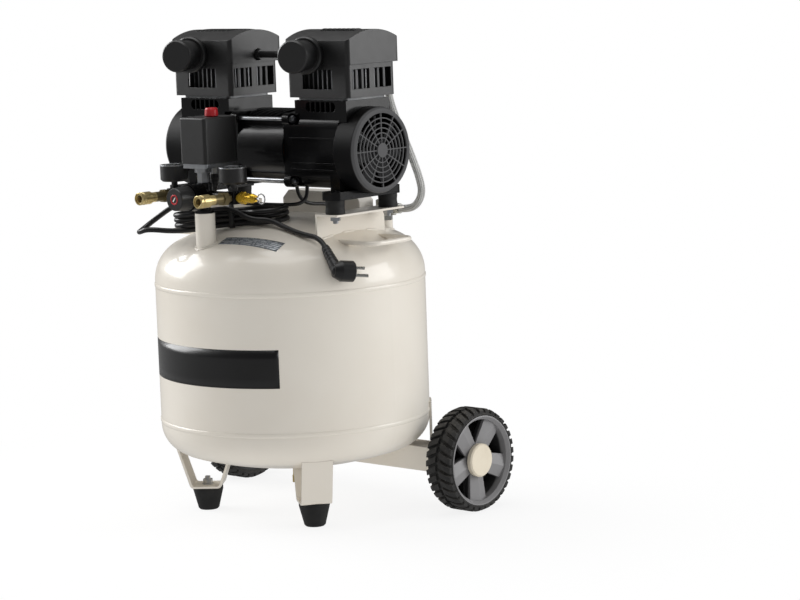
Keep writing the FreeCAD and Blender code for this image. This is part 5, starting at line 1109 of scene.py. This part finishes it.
@dataclass
class PowerCord:
    """The mains cord: out of the switch, a free loop, the tied hank and the tail to the plug.

    Attributes:
        palette: the finishes.
        radius: half the cord's thickness.
        turns: full turns in the hank.
        middle: the middle of the hank.
        bearing: its direction seen from above, in degrees.
        tilt: how far its right end is raised, in degrees.
        half: half its length.
        fold_radius: radius of the cord's folds.
        fold_corners: directions of a fold's control points, in degrees.
        waist: how far the strands run from the hank's middle line under the tie.
        waist_half: half the length of that stretch.
        ease: how far from the fold's middle the strands start to close in.
        level: height of the lowest strand over the hank's middle.
        sway: how far the turns wander sideways, in degrees.
        sway_laps: turns of the hank in one sway to and fro.
        relief: the sleeve under the switch.
        relief_share: how much of the cord's first bend it covers.
        plug_sleeve: the sleeve at the plug.
        plug_ends: where that sleeve starts and ends.
        tie_half: half the width of the strap round the hank.
        tie_thick: the strap's thickness.
        tie_room: room beside and over the strands inside it.
        tie_over: how many turns of cord it holds beyond the full ones.
        tie_square: 1 for an elliptic strap, less for a squarer one.
        tie_steps: steps round it.
    """

    palette: Palette
    radius: float = 0.0038
    turns: int = 3
    middle: Place = (-0.0225, -0.0815, 0.43911)
    bearing: float = 41.5
    tilt: float = 3.5
    half: float = 0.084
    fold_radius: float = 0.0238
    fold_corners: tuple[int, ...] = (75, 45, 15, -15, -45, -75)
    waist: float = 0.0044
    waist_half: float = 0.022
    ease: float = 0.014
    level: float = -0.0070
    sway: float = 3.0
    sway_laps: float = 1.7
    relief: Ribs = Ribs(6.8, 4.4, 0.35, 10, 0.0, 1.0, 60, 20)
    relief_share: float = 0.85
    plug_sleeve: Ribs = Ribs(6.2, 8.6, 1.3, 9, 0.3, 0.75, 56, 24)
    plug_ends: tuple[Place, Place] = ((0.1554, -0.0743, 0.40478), (0.18172, -0.08421, 0.38105))
    tie_half: float = 0.0040
    tie_thick: float = 0.0009
    tie_room: Span = (0.0026, 0.0004)
    tie_over: float = 0.7
    tie_square: float = 0.6
    tie_steps: int = 72

    def on_hank(self, along: float, toward: float, up: float) -> Vector:
        """A point in the hank's own frame.

        Args:
            along: how far it lies along the hank, from its middle to the right.
            toward: how far it lies toward the front.
            up: how far it lies over the hank's middle.

        Returns:
            The point.
        """
        turn = math.radians(self.bearing)
        tilt = math.radians(self.tilt)
        ahead = Vector((math.cos(turn), math.sin(turn), 0)) * math.cos(tilt) + UP * math.sin(tilt)
        front = Vector((math.sin(turn), -math.cos(turn), 0))
        return Vector(self.middle) + ahead * along + front * toward + front.cross(ahead) * up

    def fold_middle(self) -> float:
        """How far from the hank's middle its folds have theirs."""
        return self.half - self.fold_radius - self.radius

    def first_run(self) -> list[Vector]:
        """From the gland under the switch, round the free loop, to the hank's left end."""
        entry = self.on_hank(-self.half, self.fold_radius - self.radius / 2, self.level)
        return [Vector(place) for place in SWITCH_TO_HANK] + [entry]

    def lap(self) -> list[Span]:
        """One turn of the hank seen from above, from its left end along the front.

        Returns:
            The control points, along the hank and toward the front.
        """
        reach = self.fold_middle()
        open_end = reach - self.ease
        half = [(-open_end, self.fold_radius)]
        half += [(along, self.waist) for along in (-self.waist_half, 0.0, self.waist_half)]
        half.append((open_end, self.fold_radius))
        half_step = math.radians(self.fold_corners[0] - self.fold_corners[1]) / 2
        corner = self.fold_radius / math.cos(half_step)
        for angle in self.fold_corners:
            turn = math.radians(angle)
            half.append((reach + corner * math.cos(turn), corner * math.sin(turn)))
        return half + [(-along, -toward) for along, toward in half]

    def hank_run(self) -> list[Vector]:
        """The flattened turns of the hank, each lying on the one before.

        Returns:
            The control points of all full turns.
        """
        points = []
        lap = self.lap()
        for k in range(self.turns * len(lap)):
            along, toward = lap[k % len(lap)]
            swing = math.radians(self.sway) * math.sin(FULL_TURN * k / (self.sway_laps * len(lap)))
            turned = (along - toward * swing, toward + along * swing)
            points.append(self.on_hank(*turned, self.level + 2 * self.radius * k / len(lap)))
        return points

    def last_run(self) -> list[Vector]:
        """Half a turn over the top of the hank, then over the shoulder to the plug.

        Returns:
            The control points of the cord's last stretch.
        """
        top = self.level + 2 * self.radius * (self.turns + 0.08)
        return [
            self.on_hank(self.ease - self.fold_middle(), self.fold_radius, top),
            self.on_hank(-self.waist_half, self.waist, top + 1 * MM),
            self.on_hank(2 * MM, self.waist + 3 * MM, top + 1 * MM),
        ] + [Vector(place) for place in HANK_TO_PLUG]

    def build(self) -> None:
        points = self.first_run() + self.hank_run() + self.last_run()
        cord = spline("mains_cord", points, self.radius)
        self.palette.dress(cord, CORD_BLACK)
        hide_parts("power_cord", "cord_hank")
        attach(cord, Body.TANK.value)
        self.sleeves(points)
        self.tie()
        for name, route in LEADS.items():
            lead = spline(name, route, LEAD_RADIUS)
            self.palette.dress(lead, CORD_BLACK)
            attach(lead, Body.TANK.value)

    def sleeves(self, points: list[Vector]) -> None:
        """The tapered and grooved sleeves round the cord, under the switch and at the plug.

        Args:
            points: the cord's control points.
        """
        start, bend = points[0], points[1]
        end = (bend + points[2]) / 2
        path = []
        for share in self.relief.shares():
            t = self.relief_share * share
            path.append(start * (1 - t) ** 2 + bend * 2 * t * (1 - t) + end * t ** 2)
        self.ribbed("cord_relief", self.relief, path)
        start, end = (Vector(place) for place in self.plug_ends)
        path = [start.lerp(end, share) for share in self.plug_sleeve.shares()]
        self.ribbed("plug_sleeve", self.plug_sleeve, path)

    def ribbed(self, name: str, ribs: Ribs, path: list[Vector]) -> None:
        """Make one grooved sleeve.

        Args:
            name: the piece's name.
            ribs: its thickness.
            path: its middle, with a place for each step.
        """
        mesh = bmesh.new()
        sleeve(mesh, path, ribs.radii(), sides=ribs.sides)
        self.palette.add(name, mesh, CORD_BLACK)

    def tie(self) -> None:
        """The flat strap that holds the hank together at its waist."""
        low = self.level - self.radius
        high = self.level + 2 * self.radius * (self.turns + self.tie_over)
        half_width = self.waist + self.radius + self.tie_room[0]
        half_height = (high - low) / 2 + self.tie_room[1]
        path = []
        for cos, sin in circle(self.tie_steps):
            wide = math.copysign(abs(cos) ** self.tie_square, cos) * half_width
            tall = math.copysign(abs(sin) ** self.tie_square, sin) * half_height
            path.append((wide, (low + high) / 2 + tall))
        mesh = bmesh.new()
        left, right = (
            [mesh.verts.new(self.on_hank(edge, toward, up)) for toward, up in path]
            for edge in (-self.tie_half, self.tie_half)
        )
        for k in range(self.tie_steps):
            beside = (k + 1) % self.tie_steps
            mesh.faces.new((left[k], left[beside], right[beside], right[k]))
        thicken(mesh, -self.tie_thick)
        self.palette.add("hank_tie", mesh, CORD_BLACK)

    @staticmethod
    def length(points: list[Vector]) -> float:
        """About how long the smooth curve through a run of control points is.

        Args:
            points: the control points.

        Returns:
            The length in metres.
        """
        inner = [(a + b) / 2 for a, b in zip(points[1:-2], points[2:-1])]
        middles = [points[0], *inner, points[-1]]
        total = 0.0
        for start, corner, end in zip(middles, points[1:-1], middles[1:]):
            chord = (end - start).length
            outline = (corner - start).length + (end - corner).length
            total += (2 * chord + outline) / 3
        return total


@dataclass
class DeliveryHose:
    """The braided hose from the check valve to the right head.

    Attributes:
        palette: the finishes.
    """

    palette: Palette

    def build(self) -> None:
        """Make the hose."""
        hose = spline("braided_hose", HOSE_ROUTE, HOSE_RADIUS)
        self.palette.dress(hose, BRAID)
        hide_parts("delivery_hose")
        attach(hose, Body.TANK.value)


@dataclass
class WeldBeads:
    """Rippled weld seams where the small parts meet the tank's top.

    Attributes:
        palette: the finishes.
        dome: the surface of the top dome.
        pipes: plan position and reach of the seam round each upright pipe.
        foot: how far the brackets' feet lie from the middle.
        starts: where the short seams along a foot start.
        short: length of a short seam.
        radius: half the bead's thickness.
        ripple: distance between two ripples.
        ripple_share: how deep they are, as a share of the radius.
        step: distance between two places along a seam.
        tip: share of the radius at a seam's end.
        swell: share that it gains at each step from there.
    """

    palette: Palette
    dome: Skin
    pipes: tuple[Place, ...] = ((-0.019, -0.139, 0.0150), (0.090, 0.124, 0.0126))
    foot: float = 0.1264
    starts: Place = (-0.052, -0.008, 0.042)
    short: float = 0.026
    radius: float = 0.0021
    ripple: float = 0.0030
    ripple_share: float = 0.16
    step: float = 0.0008
    tip: float = 0.35
    swell: float = 0.16

    def build(self) -> None:
        """Make all the seams as one piece."""
        mesh = bmesh.new()
        for x, y, reach in self.pipes:
            steps = circle(int(FULL_TURN * reach / self.step))
            path = [self.dome.below(x + reach * cos, y + reach * sin) for cos, sin in steps]
            sleeve(mesh, path, self.radii(len(path), False), closed=True)
        for side, low in product((-1, 1), self.starts):
            high = low + self.short
            count = int((high - low) / self.step)
            places = [low + (high - low) * k / (count - 1) for k in range(count)]
            path = [self.dome.below(side * self.foot, y) for y in places]
            sleeve(mesh, path, self.radii(count, True))
        self.palette.add("weld_beads", mesh, TANK_PAINT)

    def radii(self, count: int, ends: bool) -> list[float]:
        """The seam's radius at each place, with ripples and soft ends.

        Args:
            count: places along the seam.
            ends: whether the seam has ends.

        Returns:
            The radii in metres.
        """
        out = []
        for k in range(count):
            wave = abs(math.sin(math.pi * k * self.step / self.ripple))
            fade = min(1.0, self.tip + min(k, count - 1 - k) * self.swell) if ends else 1.0
            out.append(self.radius * (1 - self.ripple_share + self.ripple_share * wave) * fade)
        return out


@dataclass
class WindowBars:
    """The upright bars just inside the side windows of both head shrouds.

    Attributes:
        palette: the finishes.
        head: the right head's middle, seen from above.
        reach: how far a bar's middle lies beside the head's middle.
        places: the bars of one pane, from the middle of the wall.
        ends: heights of the bars' lower and upper ends.
        section: a bar's thickness and its width along the wall.
    """

    palette: Palette
    head: Span = (0.117, 0.012)
    reach: float = 0.0559
    places: Span = (0.0165, 0.0290)
    ends: Span = (0.6244, 0.6564)
    section: Span = (0.0016, 0.0040)

    def build(self) -> None:
        """Make the bars of all eight panes as one piece."""
        mesh = bmesh.new()
        low, high = self.ends
        size = Matrix.Diagonal((*self.section, high - low, 1))
        for head, wall, pane, place in product((-1, 1), (-1, 1), (-1, 1), self.places):
            x = head * self.head[0] + wall * self.reach
            spot = Vector((x, self.head[1] + pane * place, (low + high) / 2))
            bmesh.ops.create_cube(mesh, size=1.0, matrix=Matrix.Translation(spot) @ size)
        self.palette.add("window_bars", mesh, GREY_PLASTIC, smooth=False)


@dataclass
class RegulatorFace:
    """The red ring and the white pointer on the face of the regulator's knob.

    Attributes:
        palette: the finishes.
        ring_reach: the ring's outer radius.
        ring_half: half its width.
        ring_flat: its depth as a share of its width.
        ring_steps: steps round it.
        pointer: the pointer's width, depth and length.
        pointer_turn: how far it leans, in degrees.
    """

    palette: Palette
    ring_reach: float = 0.0074
    ring_half: float = 0.0011
    ring_flat: float = 0.32
    ring_steps: int = 48
    pointer: Place = (0.0015, 0.0005, 0.0075)
    pointer_turn: float = 40.0

    def build(self) -> None:
        """Make the ring and the pointer."""
        low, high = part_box("regulator_knob")
        centre = Vector(((low.x + high.x) / 2, low.y, (low.z + high.z) / 2))
        mesh = bmesh.new()
        reach = self.ring_reach - self.ring_half
        path = [centre + Vector((cos, 0, sin)) * reach for cos, sin in circle(self.ring_steps)]
        sleeve(mesh, path, [self.ring_half] * len(path), closed=True)
        space = Matrix.Translation(-centre)
        bmesh.ops.scale(mesh, vec=(1, self.ring_flat, 1), space=space, verts=mesh.verts)
        self.palette.add("regulator_ring", mesh, RED, body=Body.REGULATOR)
        mesh = bmesh.new()
        tilt = Matrix.Rotation(math.radians(self.pointer_turn), 4, "Y")
        place = Matrix.Translation(centre) @ tilt @ Matrix.Diagonal((*self.pointer, 1))
        bmesh.ops.create_cube(mesh, size=1.0, matrix=place)
        self.palette.add("regulator_pointer", mesh, DIAL_WHITE, body=Body.REGULATOR)


@dataclass
class GaugeFaces:
    """The white dials with generic scales, and the bright rims, of the two gauges.

    Attributes:
        palette: the finishes.
        case: a gauge case's radius.
        rim_mm: the rim's profile: distance from the axis and height over the case.
        rim_steps: steps round the rim.
        drop: how far the dial lies under the case's top.
        radius: the dial's radius.
        thick: its thickness.
        corners: corners round it.
        ticks: marks on the scale.
        major: marks from one long mark to the next.
        first: where the first mark stands, in degrees.
        sweep: the scale's sweep, in degrees.
        long: length of a long mark.
        short: length of a short mark.
        stroke: a mark's width and thickness.
        inset: how far the marks stay inside the dial's edge.
        lift: how far they lie over its middle plane.
    """

    palette: Palette
    case: float = 0.020
    rim_mm: tuple[Span, ...] = (
        (18.4, -1.4), (20.15, -1.4), (20.15, -0.5), (19.4, 0.1), (18.4, 0.1),
    )
    rim_steps: int = 64
    drop: float = 0.0046
    radius: float = 0.0175
    thick: float = 0.0003
    corners: int = 48
    ticks: int = 21
    major: int = 5
    first: float = 225.0
    sweep: float = 270.0
    long: float = 0.0034
    short: float = 0.0018
    stroke: Span = (0.00045, 0.0001)
    inset: float = 0.0015
    lift: float = 0.0002

    def build(self) -> None:
        """Make both dials with their scales and rims."""
        low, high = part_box("gauge_cases")
        profile = [(reach * MM, height * MM) for reach, height in self.rim_mm]
        for side, x in ((Side.LEFT, low.x + self.case), (Side.RIGHT, high.x - self.case)):
            top = Vector((x, (low.y + high.y) / 2, high.z))
            self.dial(side, top - UP * self.drop)
            rim = spun(profile, top, self.rim_steps)
            self.palette.add("gauge_bezel_" + side.value, rim, ZINC)

    def dial(self, side: Side, centre: Vector) -> None:
        """One dial: a thin white disc and its printed scale.

        Args:
            side: the gauge's side.
            centre: the dial's middle.
        """
        disc = bmesh.new()
        bmesh.ops.create_cone(
            disc, cap_ends=True, segments=self.corners, radius1=self.radius,
            radius2=self.radius, depth=self.thick, matrix=Matrix.Translation(centre),
        )
        self.palette.add("gauge_dial_" + side.value, disc, DIAL_WHITE, smooth=False)
        marks = bmesh.new()
        for k in range(self.ticks):
            turn = math.radians(self.first - self.sweep * k / (self.ticks - 1))
            length = self.short if k % self.major else self.long
            reach = self.radius - self.inset - length / 2
            spot = Matrix.Translation(centre + UP * self.lift) @ Matrix.Rotation(turn, 4, "Z")
            spot = spot @ Matrix.Translation((reach, 0, 0))
            size = Matrix.Diagonal((length, *self.stroke, 1))
            bmesh.ops.create_cube(marks, size=1.0, matrix=spot @ size)
        self.palette.add("gauge_scale_" + side.value, marks, DIAL_INK, smooth=False)


@dataclass(frozen=True)
class Softbox:
    """A square soft lamp that faces the machine.

    Attributes:
        name: the lamp's name.
        place: where it hangs.
        size: its side.
        power: its power in watts.
        aim: what it faces.
    """

    name: str
    place: Place
    size: float
    power: float
    aim: Place = (0, 0, 0.35)

    def build(self) -> None:
        """Hang the lamp."""
        data = bpy.data.lights.new(self.name, "AREA")
        data.shape = "SQUARE"
        data.size = self.size
        data.energy = self.power
        lamp = bpy.data.objects.new(self.name, data)
        aim = Vector(self.aim) - Vector(self.place)
        lamp.rotation_euler = aim.to_track_quat("-Z", "Y").to_euler()
        lamp.location = self.place
        bpy.context.scene.collection.objects.link(lamp)


@dataclass
class Studio:
    """The pale floor, the soft light and the camera.

    Attributes:
        eye: where the camera stands.
        azimuth: how far it stands round the machine, in degrees.
        pitch: how far it looks down, in degrees.
        roll: how far it is rolled, in degrees.
        lens: its focal length in millimetres.
        sensor: its sensor's width in millimetres.
        clip: the nearest and the farthest distance that it sees.
        lamps: the soft lamps.
        ambient: level of the plain light from all round.
        ambient_mirrored: that level in reflections.
        floor_half: half the floor's side.
        floor_tones: the floor's two near-white tones.
        floor_patches: scale of the noise between them.
        floor_roughness: how matt the floor is.
        floor_white: distances between which the floor grows fully white to the eye.
        floor_shade: share of plain white nearest the machine, where its shadow shows.
        floor_glow: share of plain white that other rays see.
        floor_mirrored: level of that white in reflections.
    """

    eye: Place = (2.7529, -2.8304, 0.8400)
    azimuth: float = 41.76
    pitch: float = 7.70
    roll: float = -2.00
    lens: float = 121.51
    sensor: float = 36.0
    clip: Span = (0.1, 60.0)
    lamps: tuple[Softbox, ...] = (
        Softbox("right_softbox", (2.65, 1.85, 1.2), 1.9, 54.0),
        Softbox("left_softbox", (-2.7, -0.7, 1.7), 1.9, 84.0),
        Softbox("top_softbox", (-0.3, 0.0, 3.0), 2.2, 34.0),
    )
    ambient: float = 0.38
    ambient_mirrored: float = 0.10
    floor_half: float = 14.0
    floor_tones: tuple[Rgb, Rgb] = ((250, 250, 250), (246, 246, 246))
    floor_patches: float = 3.0
    floor_roughness: float = 0.6
    floor_white: Span = (0.25, 0.8)
    floor_shade: float = 0.86
    floor_glow: float = 0.80
    floor_mirrored: float = 0.32

    def build(self) -> None:
        """Make the floor, the sky, the lamps and the camera."""
        self.floor()
        self.sky()
        for lamp in self.lamps:
            lamp.build()
        self.camera()

    def camera(self) -> None:
        """The camera at the photograph's place."""
        turn = math.radians(self.azimuth)
        tip = math.radians(self.pitch)
        back = Vector((math.sin(turn), -math.cos(turn), 0)) * math.cos(tip) + UP * math.sin(tip)
        right = Vector((math.cos(turn), math.sin(turn), 0))
        over = back.cross(right)
        roll = math.radians(self.roll)
        side = right * math.cos(roll) + over * math.sin(roll)
        top = over * math.cos(roll) - right * math.sin(roll)
        data = bpy.data.cameras.new("camera")
        data.lens = self.lens
        data.sensor_width = self.sensor
        data.clip_start, data.clip_end = self.clip
        camera = bpy.data.objects.new("camera", data)
        camera.matrix_world = Matrix((side, top, back)).transposed().to_4x4()
        camera.location = self.eye
        bpy.context.scene.collection.objects.link(camera)
        bpy.context.scene.camera = camera

    def seen(self, wiring: Wiring) -> Socket:
        """1 for rays of the camera and through glass."""
        eye = wiring.ray("Is Camera Ray")
        return wiring.math("MAXIMUM", eye, wiring.ray("Is Transmission Ray"))

    def level(self, wiring: Wiring, straight: float, mirrored: float) -> Socket:
        """A level of light: full to the eye, and its own in reflections."""
        level = wiring.between(wiring.ray("Is Glossy Ray"), 0.0, 1.0, straight, mirrored)
        return wiring.math("MAXIMUM", level, self.seen(wiring))

    def sky(self) -> None:
        """White to the eye, and a plain level of light for the machine."""
        world = bpy.data.worlds.new("studio")
        world.use_nodes = True
        wiring = Wiring(world.node_tree)
        back = world.node_tree.nodes["Background"]
        level = self.level(wiring, self.ambient, self.ambient_mirrored)
        wiring.feed(back.inputs["Color"], (1, 1, 1, 1))
        wiring.feed(back.inputs["Strength"], level)
        bpy.context.scene.world = world

    def floor(self) -> None:
        """A wide pale floor that keeps the machine's shadow."""
        mesh = bmesh.new()
        bmesh.ops.create_grid(mesh, x_segments=1, y_segments=1, size=self.floor_half)
        floor = as_piece("floor", mesh, smooth=False)
        material = bpy.data.materials.new("floor_white")
        material.use_nodes = True
        wiring = Wiring(material.node_tree)
        nodes = material.node_tree.nodes
        shader = nodes["Principled BSDF"]
        place = wiring.here()
        tones = [linear(tone) for tone in self.floor_tones]
        tone = wiring.mix(wiring.noise(place, self.floor_patches), *tones)
        wiring.feed(shader.inputs["Base Color"], tone)
        wiring.feed(shader.inputs["Roughness"], self.floor_roughness)
        feeds = {"Color": (1, 1, 1, 1), "Strength": self.level(wiring, 1.0, self.floor_mirrored)}
        glow = wiring.node("ShaderNodeEmission", feeds).outputs[0]
        away = wiring.vector("LENGTH", place)
        to_eye = wiring.between(away, *self.floor_white, self.floor_shade, 1.0)
        to_eye = wiring.times(self.seen(wiring), to_eye)
        share = wiring.between(wiring.ray("Is Glossy Ray"), 0.0, 1.0, self.floor_glow, 1.0)
        share = wiring.math("MAXIMUM", to_eye, share)
        feeds = {0: share, 1: shader.outputs[0], 2: glow}
        mixed = wiring.node("ShaderNodeMixShader", feeds).outputs[0]
        wiring.feed(nodes["Material Output"].inputs["Surface"], mixed)
        floor.data.materials.append(material)


def main() -> None:
    """Dress the frame piece by piece."""
    logging.basicConfig(level=logging.INFO, format="%(message)s")
    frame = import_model()
    bpy.context.scene.view_settings.view_transform = "Standard"
    palette = Palette()
    palette.dress_nodes(frame["nodes"])
    LOG.info("frame pieces dressed: %d", len(frame["nodes"]))
    dome = Skin(frame["nodes"]["tank_top_dome"])
    assemblies = (
        TankDress(palette, dome),
        WeldBeads(palette, dome),
        PowerCord(palette),
        DeliveryHose(palette),
        WindowBars(palette),
        RegulatorFace(palette),
        GaugeFaces(palette),
        Studio(),
    )
    for assembly in assemblies:
        assembly.build()
        LOG.info("built %s", type(assembly).__name__)


if __name__ == "__main__":
    main()
